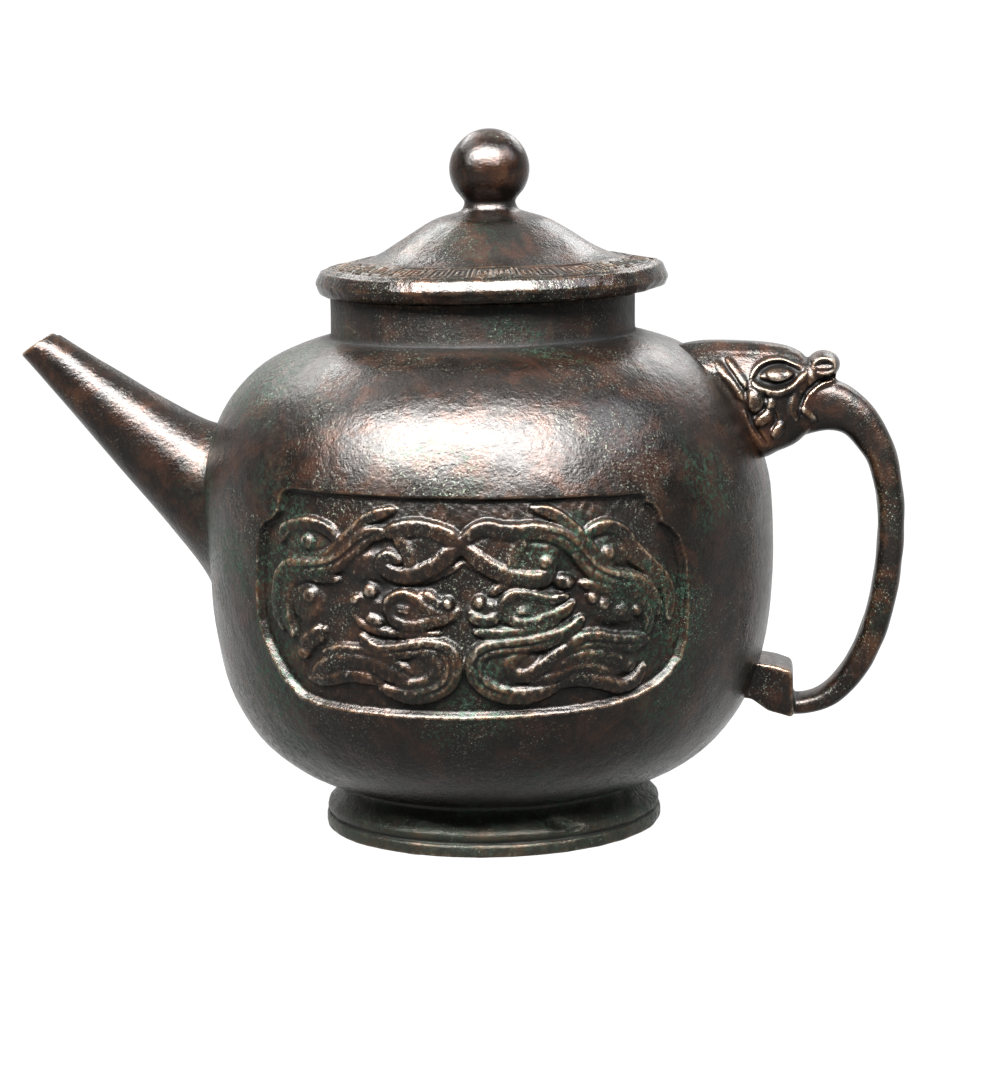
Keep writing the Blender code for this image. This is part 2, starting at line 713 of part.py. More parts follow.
def lid_profile():
    """Outside from the knob's top down to the rim, then the hollow underside."""
    seat = NECK_TOP_Z + SEAM
    rim_top = seat + LID_EDGE_HEIGHT
    band_outer = LID_RADIUS - LID_EDGE_WIDTH
    band_inner = band_outer - LID_BAND_WIDTH
    band_z = rim_top + LID_BAND_RISE
    dome_top = band_z + DOME_HEIGHT
    knob_z = dome_top + KNOB_STEM_HEIGHT + math.sqrt(KNOB_RADIUS**2 - KNOB_STEM_RADIUS**2)
    stem_angle = math.acos(KNOB_STEM_RADIUS / KNOB_RADIUS)
    profile = [(0.0, knob_z + KNOB_RADIUS)]
    for i in range(1, 6):
        angle = math.pi / 2 - (math.pi / 2 + stem_angle) * i / 5
        profile.append((KNOB_RADIUS * math.cos(angle), knob_z + KNOB_RADIUS * math.sin(angle)))
    profile.append((KNOB_STEM_RADIUS - KNOB_STEM_GROOVE, dome_top + 2 * KNOB_STEM_GROOVE))
    profile.append((KNOB_STEM_RADIUS, dome_top - KNOB_STEM_GROOVE))
    # The dome falls as a soft S from the collar to the flat band
    dome = smooth_line(
        [
            (KNOB_STEM_RADIUS + 4 * KNOB_STEM_GROOVE, dome_top - 3 * KNOB_STEM_GROOVE),
            (band_inner * 0.46, band_z + DOME_HEIGHT * 0.70),
            (band_inner * 0.74, band_z + DOME_HEIGHT * 0.31),
            (band_inner, band_z),
        ],
        2,
    )
    outer = [(point.x, point.y) for point in dome]
    flange = NECK_RADIUS - NECK_WALL - FLANGE_CLEARANCE
    profile += [
        *outer,
        (band_outer, rim_top),
        (LID_RADIUS - LID_EDGE_ROUND, rim_top - LID_EDGE_ROUND),
        (LID_RADIUS, seat + LID_EDGE_HEIGHT / 2),
        (LID_RADIUS - LID_EDGE_ROUND / 2, seat + LID_EDGE_ROUND / 2),
        (LID_RADIUS - 1.5 * LID_EDGE_ROUND, seat),
        (flange, seat),
        (flange, seat - FLANGE_DEPTH),
        (flange - FLANGE_WALL, seat - FLANGE_DEPTH),
        (flange - FLANGE_WALL, seat + LID_WALL / 2),
    ]
    for radius, z in reversed(outer[1:-1]):
        if radius < flange - 1.5 * FLANGE_WALL:
            profile.append((radius - LID_WALL / 3, z - LID_WALL))
    profile.append((0.0, profile[-1][1] + LID_WALL / 4))
    return profile


def make_lid(parent, surface):
    bm = bmesh.new()
    turned(bm, lid_profile(), LID_SIDES)
    lid = make_object("lid", bm, parent, surface)
    lid.location.x = LID_OFFSET
    return lid


def main():
    for old in list(bpy.data.objects):
        bpy.data.objects.remove(old, do_unlink=True)
    spout_reach = max(-point.x for ring in spout_rings() for point in ring)
    handle_reach = BELLY_RADIUS + HANDLE_PROJECTION
    axis = bpy.data.objects.new("ewer_axis", None)
    bpy.context.collection.objects.link(axis)
    axis.location.x = (spout_reach - handle_reach) / 2
    make_vessel(axis, material("vessel_bronze", (0.028, 0.022, 0.017), 0.42))
    make_spout(axis, material("spout_bronze", (0.040, 0.026, 0.019), 0.40))
    make_handle(axis, material("handle_bronze", (0.045, 0.030, 0.021), 0.40))
    make_lid(axis, material("lid_bronze", (0.036, 0.026, 0.018), 0.38))


main()
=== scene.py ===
"""The looks of a small cast bronze ewer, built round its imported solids.

Sizes in the tables are millimetres about the belly's axis, with the front at -Y, and become metres
in the row's frame as each mesh is made. Every visible solid is replaced by a finer piece of its shape.
"""

import math
from functools import partial

import bmesh
import bpy
import numpy as np
from mathutils import Matrix, Vector


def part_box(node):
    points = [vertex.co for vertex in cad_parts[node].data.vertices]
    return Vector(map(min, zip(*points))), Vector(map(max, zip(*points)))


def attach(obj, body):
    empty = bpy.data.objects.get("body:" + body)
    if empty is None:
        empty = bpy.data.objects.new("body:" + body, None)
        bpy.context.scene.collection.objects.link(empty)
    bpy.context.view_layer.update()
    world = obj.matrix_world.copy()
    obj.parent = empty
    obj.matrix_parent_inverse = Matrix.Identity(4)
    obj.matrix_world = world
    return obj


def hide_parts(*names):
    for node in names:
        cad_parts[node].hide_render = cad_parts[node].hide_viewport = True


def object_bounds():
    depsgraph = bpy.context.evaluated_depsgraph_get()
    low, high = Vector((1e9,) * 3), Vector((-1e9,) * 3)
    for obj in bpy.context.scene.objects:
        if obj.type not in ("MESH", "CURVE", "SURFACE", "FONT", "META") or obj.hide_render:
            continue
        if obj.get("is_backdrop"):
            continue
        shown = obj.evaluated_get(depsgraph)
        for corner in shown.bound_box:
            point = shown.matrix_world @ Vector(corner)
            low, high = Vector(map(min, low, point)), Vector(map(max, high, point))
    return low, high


bl_info = {
    "name": "Bronze Ewer",
    "version": (1, 0, 0),
    "blender": (4, 5, 0),
    "location": "3D View > Sidebar > Ewer",
    "description": "Builds a lidded cast bronze ewer with dragon panels and a dragon-head handle",
    "category": "Object",
}

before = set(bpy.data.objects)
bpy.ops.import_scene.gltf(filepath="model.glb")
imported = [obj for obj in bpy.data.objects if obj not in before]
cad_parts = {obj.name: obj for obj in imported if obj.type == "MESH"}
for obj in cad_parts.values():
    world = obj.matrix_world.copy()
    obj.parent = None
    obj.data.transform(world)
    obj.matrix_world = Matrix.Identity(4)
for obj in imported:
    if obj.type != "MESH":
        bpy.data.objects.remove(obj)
CAD_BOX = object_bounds()
MM = 0.001
# How far the lid sits off the belly's axis, towards the handle
LID_OFFSET = 2.2
AXIS_X = (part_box("lid")[0].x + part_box("lid")[1].x) / 2 / MM - LID_OFFSET


def linear(code, alpha=1.0):
    """An sRGB hex colour as linear red, green, blue and alpha."""
    channels = []
    for i in (1, 3, 5):
        value = int(code[i : i + 2], 16) / 255
        channels.append(value / 12.92 if value <= 0.04045 else ((value + 0.055) / 1.055) ** 2.4)
    return (*channels, alpha)


def length_property(name, description, default):
    """A length in metres that a user can change."""
    return bpy.props.FloatProperty(
        name=name, description=description, default=default, min=0.0, unit="LENGTH", precision=5
    )


def colour_property(name, description, code):
    """A colour that a user can change."""
    return bpy.props.FloatVectorProperty(
        name=name, description=description, default=linear(code), size=4, min=0, max=1, subtype="COLOR"
    )


class EwerSizes(bpy.types.PropertyGroup):
    """Sizes of the casting that show."""

    belly_radius: length_property("Belly Radius", "Radius of the belly's widest ring", 0.0649)
    panel_depth: length_property("Panel Depth", "Depth of the dragon panel below the belly", 0.0015)
    relief_height: length_property("Relief Height", "Height of the dragons over the panel's ground", 0.0019)
    fret_height: length_property("Fret Height", "Height of the fret on the lid's rim", 0.00055)
    handle_grain: length_property("Handle Grain", "Voxel size at which the handle is fused", 0.00036)


class EwerColours(bpy.types.PropertyGroup):
    """Colours of the patina, of the painted shade in its hollows and of the floor's glow."""

    dark: colour_property("Dark Patina", "Near-black brown skin of the bronze", "#0e0b09")
    red: colour_property("Red Patina", "Reddish brown copper oxide", "#2a1911")
    dull: colour_property("Dull Patina", "Dull brown clouds in the skin", "#15110f")
    green: colour_property("Verdigris", "Dark green copper carbonate in crusts", "#12251a")
    gold: colour_property("Bare Bronze", "Warm metal that shows on rubbed ridges", "#4c3824")
    grey: colour_property("Worn Skin", "Pale grey-brown of the rubbed high places", "#837c72")
    pale: colour_property("Pale Specks", "Pale green-grey dust of carbonate in specks", "#5a6054")
    # Black painted shade laid into the colour of the hollows, not a colour of the bronze
    painted_shade: colour_property("Shade", "Black dirt in the hollows", "#060505")
    floor: colour_property("Light Table", "Glow of the opal sheet that the ewer stands on", "#fbfbfb")


def sizes():
    """The sizes that a user can change."""
    return bpy.context.scene.ewer_sizes


def colours():
    """The colours that a user can change."""
    return bpy.context.scene.ewer_colours


# Shape of the belly

WIDEST_Z = 77.5
SHOULDER_HEIGHT = 37.1
SHOULDER_BEND = 1.6
SHOULDER_FULLNESS = 4.58
BASE_DEPTH = 69.7
BASE_BEND = 3.43
BASE_FULLNESS = 3.3
WALL = 2.6
BELLY_SWAY = 0.8
BELLY_SWAY_BIAS = 1.8
NECK_RADIUS = 34.7
NECK_HEIGHT = 9.5
NECK_WALL = 2.5
NECK_FILLET = 0.7
FOOT_RADIUS = 38.8
FOOT_BAND = 2.7
FOOT_GROOVE = 0.7
FOOT_WAIST = 34.6
FOOT_RING = 5.0
FOOT_RECESS = 7.8
FOOT_EDGE = 0.6
FOOT_INNER_EDGE = 0.5
RECESS_CORNER = 1.2
FLOOR = 3.2
LIP_EDGE = 0.4
# Heights between which the belly's mesh is split finer over the panels
PATCH_LOW = 34.6
PATCH_HIGH = 87.4


def belly_radius(z):
    """Radius of the belly's outer surface at a height or heights."""
    z = np.asarray(z, float)
    up = np.clip((z - WIDEST_Z) / SHOULDER_HEIGHT, 0, 1)
    down = np.clip((WIDEST_Z - z) / BASE_DEPTH, 0, 1)
    upper = (1 - up**SHOULDER_BEND) ** (1 / SHOULDER_FULLNESS)
    lower = (1 - down**BASE_BEND) ** (1 / BASE_FULLNESS)
    return sizes().belly_radius / MM * np.where(z >= WIDEST_Z, upper, lower)


def height_at(radius, above):
    """Height at which the shoulder, or the base, has this radius."""
    share = radius * MM / sizes().belly_radius
    if above:
        return WIDEST_Z + SHOULDER_HEIGHT * (1 - share**SHOULDER_FULLNESS) ** (1 / SHOULDER_BEND)
    return WIDEST_Z - BASE_DEPTH * (1 - share**BASE_FULLNESS) ** (1 / BASE_BEND)


def neck_base():
    """Height at which the neck leaves the shoulder."""
    return height_at(NECK_RADIUS + NECK_FILLET, True)


def foot_top():
    """Height at which the foot's waist meets the base."""
    return height_at(FOOT_WAIST, False)


def sway(z):
    """How far the hand-made belly leans out of true at a height or heights."""
    share = np.clip((np.asarray(z, float) - foot_top()) / (neck_base() - foot_top()), 0, 1)
    return BELLY_SWAY * np.sin(2 * math.pi * share**BELLY_SWAY_BIAS)


# Curves and fields


def smooth_line(points, steps=6):
    """A Catmull-Rom curve through points, as an array."""
    p = np.asarray(points, float)
    p = np.vstack([2 * p[0] - p[1], p, 2 * p[-1] - p[-2]])
    t = (np.arange(steps) / steps)[:, None]
    out = []
    for a, b, c, d in zip(p, p[1:], p[2:], p[3:]):
        bend, twist = 2 * a - 5 * b + 4 * c - d, 3 * b - a - 3 * c + d
        out.append(0.5 * (2 * b + (c - a) * t + bend * t**2 + twist * t**3))
    return np.vstack([*out, p[-2]])


def distance_to_line(x, y, line):
    """Distance from each place to a polyline, how far along it as a share, and the height over it."""
    best = np.full(x.shape, 1e9)
    along = np.zeros(x.shape)
    over = np.zeros(x.shape)
    pieces = np.linalg.norm(np.diff(line, axis=0), axis=1)
    run = np.concatenate([[0], np.cumsum(pieces)])
    total = max(run[-1], 1e-9)
    for (ax, ay), (bx, by), start, piece in zip(line, line[1:], run, pieces):
        dx, dy = bx - ax, by - ay
        t = np.clip(((x - ax) * dx + (y - ay) * dy) / max(dx * dx + dy * dy, 1e-12), 0, 1)
        d = np.hypot(x - ax - t * dx, y - ay - t * dy)
        nearer = d < best
        best[nearer] = d[nearer]
        along[nearer] = ((start + t * piece) / total)[nearer]
        over[nearer] = (y - ay - t * dy)[nearer]
    return best, along, over


def smooth_step(low, high, value):
    """0 at the first limit and 1 at the second, with a soft start and end."""
    t = np.clip((value - low) / (high - low), 0, 1)
    return t * t * (3 - 2 * t)


# Share of a band's length that tapers at each end, its height there, and how much its upper edge leads
BAND_TIP = 0.16
BAND_TIP_HEIGHT = 0.72
BAND_TILT = 0.22
# Band shapes: width left at the ends, and the fullness and steepness of the back
CAST_BAND = {"taper": 0.45, "crown": 3.6, "power": 0.48}
CARVED_BAND = {"taper": 0.5, "crown": 2.2, "power": 0.8}


def raise_band(field, x, y, half, height, points, taper, crown, power):
    """Adds a band along a curve to a height field, where it stands higher than what is there. Its upper
    edge is the higher one, as on the worn casting."""
    low = np.min(points, axis=0) - half - 0.3
    high = np.max(points, axis=0) + half + 0.3
    near = np.flatnonzero((x > low[0]) & (x < high[0]) & (y > low[1]) & (y < high[1]))
    if not len(near):
        return
    d, along, over = distance_to_line(x[near], y[near], smooth_line(points))
    ends = np.clip(np.minimum(along, 1 - along) / BAND_TIP, 0, 1)
    width = half * (taper + (1 - taper) * np.sqrt(ends))
    rise = height * (BAND_TIP_HEIGHT + (1 - BAND_TIP_HEIGHT) * ends)
    rise *= np.clip(1 - (d / width) ** crown, 0, 1) ** power
    rise *= 1 + BAND_TILT * np.clip(over / width, -1, 1)
    field[near] = np.maximum(field[near], rise)


def raise_boss(field, x, y, radii, height, place, tilt):
    """Adds an oval boss to a height field."""
    c, s = math.cos(tilt), math.sin(tilt)
    dx, dy = x - place[0], y - place[1]
    d = np.hypot((dx * c + dy * s) / radii[0], (-dx * s + dy * c) / radii[1])
    np.maximum(field, height * np.clip(1 - d**2.2, 0, 1) ** 0.55, out=field)


def cut_line(field, x, y, half, depth, points):
    """Cuts a rounded groove along a curve into a height field."""
    low = np.min(points, axis=0) - half
    high = np.max(points, axis=0) + half
    near = np.flatnonzero((x > low[0]) & (x < high[0]) & (y > low[1]) & (y < high[1]))
    if not len(near):
        return
    d, along, _ = distance_to_line(x[near], y[near], smooth_line(points))
    ends = np.clip(np.minimum(along, 1 - along) / 0.2, 0, 1)
    field[near] -= depth * (0.3 + 0.7 * ends) * np.clip(1 - (d / half) ** 2, 0, 1)


def outline_distance(x, y, outline):
    """Distance to a closed outline, positive inside it."""
    ring = np.vstack([outline, outline[:1]])
    d, _, _ = distance_to_line(x, y, ring)
    inside = np.zeros(x.shape, bool)
    for (ax, ay), (bx, by) in zip(ring, ring[1:]):
        if ay != by:
            crosses = (ay > y) != (by > y)
            inside ^= crosses & (x < (bx - ax) * (y - ay) / (by - ay) + ax)
    return np.where(inside, d, -d)


def uneven(x, y, z, height, pitch, seed):
    """A slow unevenness of this height over a surface, such as a hand-finished casting has."""
    k = 2 * math.pi / pitch
    out = np.sin(k * (0.91 * x + 0.35 * y + 0.17 * z) + seed)
    out = out * np.sin(k * (0.83 * z - 0.31 * x) + 1.7 * seed)
    out += 0.6 * np.sin(k * 1.7 * (0.62 * y - 0.71 * z + 0.33 * x) + 2.3 + seed)
    out += 0.4 * np.sin(k * 2.6 * (0.55 * x + 0.5 * z - 0.6 * y) + 0.7 * seed)
    return height * out / 2


# Mesh making


def make_piece(name, verts, faces, surface, node, attributes=None):
    """A mesh object that stands for a CAD node. Places are millimetres about the belly's axis."""
    mesh = bpy.data.meshes.new(name)
    verts = (np.asarray(verts, float) + (AXIS_X, 0, 0)) * MM
    mesh.from_pydata(verts.tolist(), [], faces)
    mesh.validate()
    mesh.update()
    mesh.shade_smooth()
    for key, values in (attributes or {}).items():
        store(mesh, key, values)
    piece = bpy.data.objects.new(name, mesh)
    bpy.context.scene.collection.objects.link(piece)
    return finish_piece(piece, surface, node)


def finish_piece(piece, surface, node):
    """Gives a piece its wear, its material and its place in the frame."""
    mark_edges(piece.data)
    piece.data.materials.clear()
    piece.data.materials.append(surface)
    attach(piece, "root")
    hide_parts(node)
    return piece


def store(mesh, key, values):
    """Keeps one number for each point, for the material to read."""
    mesh.attributes.new(key, "FLOAT", "POINT").data.foreach_set("value", np.asarray(values, np.float32))


def read_points(mesh):
    """The places of a mesh's points in millimetres, and their normals."""
    co = np.empty(len(mesh.vertices) * 3)
    mesh.vertices.foreach_get("co", co)
    normal = np.empty(len(mesh.vertices) * 3, np.float32)
    mesh.vertex_normals.foreach_get("vector", normal)
    return co.reshape(-1, 3) / MM, normal.reshape(-1, 3).astype(float)


def read_edges(mesh):
    """The point numbers at the two ends of each edge."""
    edges = np.empty(len(mesh.edges) * 2, np.int32)
    mesh.edges.foreach_get("vertices", edges)
    return edges.reshape(-1, 2).T


# Times that the bend is blurred: little for 'ridge', and over a wider reach for 'swell'
BLURS = {"ridge": 2, "swell": 12}
SHARPEST = 3


def mark_edges(mesh):
    """Stores how sharply the surface bends out, in 1/mm, as 'ridge', and over a wider reach as 'swell'."""
    co, normal = read_points(mesh)
    a, b = read_edges(mesh)
    count = len(co)
    span = co[a] - co[b]
    length = np.maximum((span**2).sum(1), 1e-4)
    number = np.maximum(np.bincount(a, minlength=count) + np.bincount(b, minlength=count), 1)
    bend = np.bincount(a, 2 * (span * normal[a]).sum(1) / length, count)
    bend -= np.bincount(b, 2 * (span * normal[b]).sum(1) / length, count)
    bend = np.clip(bend / number, -SHARPEST, SHARPEST)
    for key, times in BLURS.items():
        values = bend
        for _ in range(times):
            near = np.bincount(a, values[b], count) + np.bincount(b, values[a], count)
            values = 0.4 * values + 0.6 * near / number
        store(mesh, key, values)


def weave(rows, columns, patches=()):
    """The vertices, as (row, column), and faces of a grid that closes round its columns. Each patch is
    (first row, last row, first column, last column, split) and its cells are split that many ways. The
    first and the last row are poles of one vertex each."""
    unit = 1
    for patch in patches:
        unit = math.lcm(unit, patch[4])
    split = np.ones((rows, columns), int)
    for first, last, left, right, ways in patches:
        for column in range(left, right):
            split[first:last, column % columns] = ways
    split[rows - 1] = 1
    index = {}
    places = []

    def vertex(row, column):
        column = 0 if row in (0, (rows - 1) * unit) else column % (columns * unit)
        key = (row, column)
        if key not in index:
            index[key] = len(places)
            places.append(key)
        return index[key]

    faces = []
    for i in range(rows - 1):
        for j in range(columns):
            ways = split[i, j]
            step = unit // ways
            if ways > 1:
                for p in range(i * unit, (i + 1) * unit, step):
                    for q in range(j * unit, (j + 1) * unit, step):
                        corners = ((p, q), (p, q + step), (p + step, q + step), (p + step, q))
                        faces.append(tuple(vertex(*corner) for corner in corners))
                continue
            below = unit // (split[i - 1, j] if i else 1)
            above = unit // split[i + 1, j]
            right = unit // split[i, (j + 1) % columns]
            left = unit // split[i, j - 1]
            p, q = i * unit, j * unit
            ring = [vertex(p, q + s) for s in range(0, unit, below)]
            ring += [vertex(p + s, q + unit) for s in range(0, unit, right)]
            ring += [vertex(p + unit, q + unit - s) for s in range(0, unit, above)]
            ring += [vertex(p + unit - s, q) for s in range(0, unit, left)]
            ring = [v for n, v in enumerate(ring) if v != ring[n - 1]]
            faces.append(tuple(ring))
    return np.array(places, float) / unit, faces


class Profile:
    """A turned outline in millimetres, measured by its run, with the rows that the mesh takes from it."""

    def __init__(self):
        self.points = []
        self.stretches = []
        self.starts = {}

    def add(self, points, rows, name=None):
        """Goes on through points, and takes this many rows on the way to the last of them. A name keeps
        the row at which the stretch starts."""
        self.points += [tuple(map(float, p)) for p in points]
        self.stretches.append((len(self.points) - 1, rows, name))

    def done(self):
        """Works out the rows, once all points are in."""
        p = np.array(self.points)
        self.run = np.concatenate([[0], np.cumsum(np.linalg.norm(np.diff(p, axis=0), axis=1))])
        self.radius, self.z = p.T
        rows = [0.0]
        at = 0
        for end, count, name in self.stretches:
            self.starts[name] = len(rows) - 1
            rows += list(np.linspace(self.run[at], self.run[end], count + 1)[1:])
            at = end
        self.rows = np.array(rows)
        return self

    def at(self, rows):
        """Radius, height and the outward normal at row numbers."""
        run = np.interp(rows, np.arange(len(self.rows)), self.rows)
        radius = np.interp(run, self.run, self.radius)
        z = np.interp(run, self.run, self.z)
        before, after = np.maximum(run - 0.2, 0), np.minimum(run + 0.2, self.run[-1])
        dr = np.interp(after, self.run, self.radius) - np.interp(before, self.run, self.radius)
        dz = np.interp(after, self.run, self.z) - np.interp(before, self.run, self.z)
        length = np.maximum(np.hypot(dr, dz), 1e-9)
        return radius, z, dz / length, -dr / length


def arc(centre, radius, start, end, steps=6):
    """Points of an arc of a profile, with angles in degrees from outwards."""
    angles = np.radians(np.linspace(start, end, steps + 1))
    return [(centre[0] + radius * math.cos(a), centre[1] + radius * math.sin(a)) for a in angles]


# Dragon panel, as seen from the front: degrees round from the front and millimetres up

PANEL_OUTLINE = [
    (-35.6, 85.2), (-20, 85.0), (0, 84.5), (20, 84.0), (33.6, 83.6), (36.2, 83.5), (37.3, 82.7),
    (37.4, 81.6), (39.0, 80.7), (39.9, 78.6), (40.2, 76.9), (42.6, 75.2), (44.2, 73.0), (45.4, 68.6),
    (45.8, 62), (45.9, 55), (45.7, 50.1), (44.6, 46.4), (42.1, 43.3), (38.9, 41.0), (34.5, 39.2),
    (29, 37.9), (20, 37.2), (12.7, 37.0), (-4, 36.8), (-17, 36.9), (-26.5, 37.3), (-32, 37.7),
    (-36.9, 38.9), (-40.6, 42.0), (-43.6, 46.4), (-46.2, 50.6), (-47.6, 55), (-47.7, 60), (-47.3, 65.2),
    (-46.4, 71), (-45.5, 74.9), (-43.7, 77.2), (-41.0, 78.4), (-39.4, 80.2), (-39.2, 82.0), (-38.6, 84.0),
    (-37.2, 85.0),
]
# Bands of relief: half width, height as a share, and places in millimetres round (at 64 mm out) and up
LEFT_BANDS = [
    (1.54, 0.72, [(-14.6, 82), (-20.5, 79.9), (-24.1, 77), (-28.2, 73.7), (-30.9, 71.2), (-33.1, 70.8)]),
    (1.82, 0.80, [(-44.6, 73.6), (-42.6, 76), (-39.6, 77.3), (-35, 77.9), (-30.7, 76.8), (-28.9, 74.6)]),
    (2.34, 0.90, [(-15.9, 76.9), (-20.6, 76.3), (-24.3, 73.5), (-28.4, 70.2), (-32.3, 68.7),
                  (-37.4, 68.2), (-41.9, 67.8), (-44.6, 65.6), (-45.9, 62.2), (-46.6, 57.6),
                  (-45.4, 54.2)]),
    (1.65, 0.76, [(-29.0, 66.2), (-33.3, 66.5), (-38, 66.6), (-41.5, 65), (-43.4, 61.2), (-43.7, 56.1),
                  (-42.3, 52.7)]),
    (2.34, 1.00, [(0.0, 74.3), (-1.6, 75.2), (-3.5, 76.6), (-6.9, 77.7), (-10.1, 78.1), (-13.5, 77.5),
                  (-16.6, 76.7)]),
    (2.22, 0.94, [(0.0, 74.0), (-2.7, 72.6), (-5.3, 70.4), (-8.6, 68.7), (-12.2, 67.9), (-15.5, 68.3),
                  (-17.6, 69.9), (-16.4, 71.6), (-14.2, 70.9)]),
    (1.82, 0.90, [(-14.4, 76.6), (-12.4, 74.0), (-11.4, 71.2), (-11.6, 68.8)]),
    (0.70, 0.42, [(-0.2, 70.6), (-2.9, 68.9), (-5.8, 67.5), (-9.4, 66.2)]),
    (1.54, 1.02, [(-17.4, 60.4), (-16.1, 62.5), (-13.2, 63.7), (-10.3, 62.5), (-8.2, 60.6),
                  (-5.2, 59.3)]),
    (1.65, 0.90, [(-17.1, 59.5), (-15.4, 58.0), (-13.0, 57.0), (-10.4, 56.9), (-7.4, 57.9),
                  (-3.6, 58.6)]),
    (2.05, 0.86, [(-9.4, 63.9), (-7.6, 62.4), (-5.6, 60.8)]),
    (2.34, 1.00, [(-23.4, 54.2), (-21.8, 52.2), (-18.8, 51.0), (-14.4, 51.4), (-9.2, 52.4), (-5.0, 51.9),
                  (-3.0, 49.6), (-3.5, 45.6), (-6.2, 42.8), (-10.9, 41.4), (-15.4, 41.5), (-19.3, 42.7)]),
    (1.99, 0.92, [(-12.2, 51.4), (-8.4, 50.6), (-6.7, 47.9), (-7.9, 44.9), (-12.0, 43.6), (-15.6, 44.2)]),
    (2.39, 0.88, [(-36.6, 44.9), (-33.4, 46.6), (-29.3, 48.0), (-25, 48.5), (-20.2, 47.6), (-16.9, 46.0),
                  (-12.4, 44.4)]),
    (1.54, 0.80, [(-33.4, 50.0), (-27.5, 50.9), (-21.7, 50.4), (-15.8, 48.2), (-11.2, 46.0)]),
    (1.77, 0.82, [(-38.2, 43.4), (-35.2, 43.4), (-32.4, 43.8), (-27.8, 45.0), (-23.2, 45.0),
                  (-19.2, 43.9)]),
    (2.17, 0.66, [(-39.8, 50.4), (-36.6, 52.6), (-33.4, 54.6)]),
    (1.10, 0.62, [(-25.4, 58.6), (-22.6, 56.4), (-18.6, 55.4), (-12, 54.9), (-6, 55.2)]),
]
RIGHT_BANDS = [
    (2.34, 1.00, [(0.0, 74.3), (0.9, 75.6), (3.0, 77.3), (5.6, 77.9), (8.6, 77.2), (12, 76.9), (16, 77.0),
                  (20.1, 76), (23.8, 73.4), (26.4, 69.8), (29.4, 66.8), (33.6, 65.5), (38.2, 64.2),
                  (41.6, 61.4), (43.0, 57.4)]),
    (2.22, 0.95, [(0.0, 74.0), (2.0, 72.4), (4.6, 70.2), (9, 67.8), (14.3, 66.6), (17.3, 67.2),
                  (18.9, 69.2)]),
    (1.82, 0.88, [(13.2, 76.2), (11.8, 73.6), (10.6, 71.2), (9.9, 68.6)]),
    (0.70, 0.42, [(0.2, 70.6), (3.2, 68.9), (6.6, 67.3), (10.6, 65.9)]),
    (1.65, 0.74, [(15.6, 82.2), (18.6, 81.3), (21.4, 79.6), (24.3, 76.8), (26.8, 73.6), (29.2, 70.4),
                  (32.2, 68.2)]),
    (1.94, 0.88, [(26.4, 74.6), (28.6, 76.5), (32.2, 77.0), (35.4, 75.2), (38.0, 71.6), (41.0, 68.4),
                  (44.3, 65.0), (46.2, 60.8), (46.2, 55.6)]),
    (1.20, 0.72, [(34.2, 73.2), (37.2, 69.6), (40.6, 66.8), (43.6, 62.8)]),
    (1.65, 0.80, [(25.2, 65.2), (29.8, 63.9), (35.2, 62.6), (38.9, 60.4), (40.8, 56.9), (40.6, 53.2)]),
    (1.54, 1.02, [(8.0, 59.9), (8.2, 62.0), (10.4, 63.6), (14.1, 63.2), (17.9, 62.2), (21.6, 62.8)]),
    (1.60, 0.92, [(8.4, 59.3), (10.6, 57.7), (14.0, 57.3), (17.0, 58.3), (20.8, 59.6), (23.0, 61.2)]),
    (1.60, 0.94, [(1.0, 59.9), (2.4, 58.4), (5.0, 58.1), (6.7, 59.6)]),
    (1.54, 0.84, [(2.0, 55.6), (7.1, 55.2), (12.2, 55.4), (17.0, 56.7), (20.2, 58.4)]),
    (1.20, 0.60, [(5.4, 63.9), (8.8, 65.6), (12.6, 66.0), (15.8, 64.8)]),
    (2.34, 1.00, [(24.8, 57.6), (22.7, 55.6), (19.1, 53.9), (13.9, 52.9), (8.7, 52.4), (3.9, 51.6),
                  (1.7, 48.9), (2.2, 45.6), (5.3, 42.7), (10.4, 41.3), (15.8, 41.6), (20.0, 43.0)]),
    (1.94, 0.82, [(20.0, 43.1), (24.6, 44.2), (30.4, 43.0), (35.5, 41.6), (38.7, 43.0), (40.4, 45.6)]),
    (1.99, 0.92, [(23.8, 52.4), (19.4, 49.8), (15.9, 47.4), (12.4, 45.6), (9.6, 46.6), (9.7, 49.0),
                  (12.6, 50.2)]),
    (2.45, 0.92, [(20.7, 50.0), (23.6, 52.2), (27.2, 52.9), (31.7, 51.9), (36.0, 51.2), (40.4, 51.6)]),
    (1.94, 0.84, [(16.8, 46.4), (20.6, 47.8), (25.1, 49.2), (29.9, 48.9), (34.0, 47.4), (36.6, 45.8)]),
    (1.60, 0.80, [(13.6, 44.0), (18.2, 44.9), (22.6, 46.4), (27.4, 46.6), (32.4, 44.9)]),
]
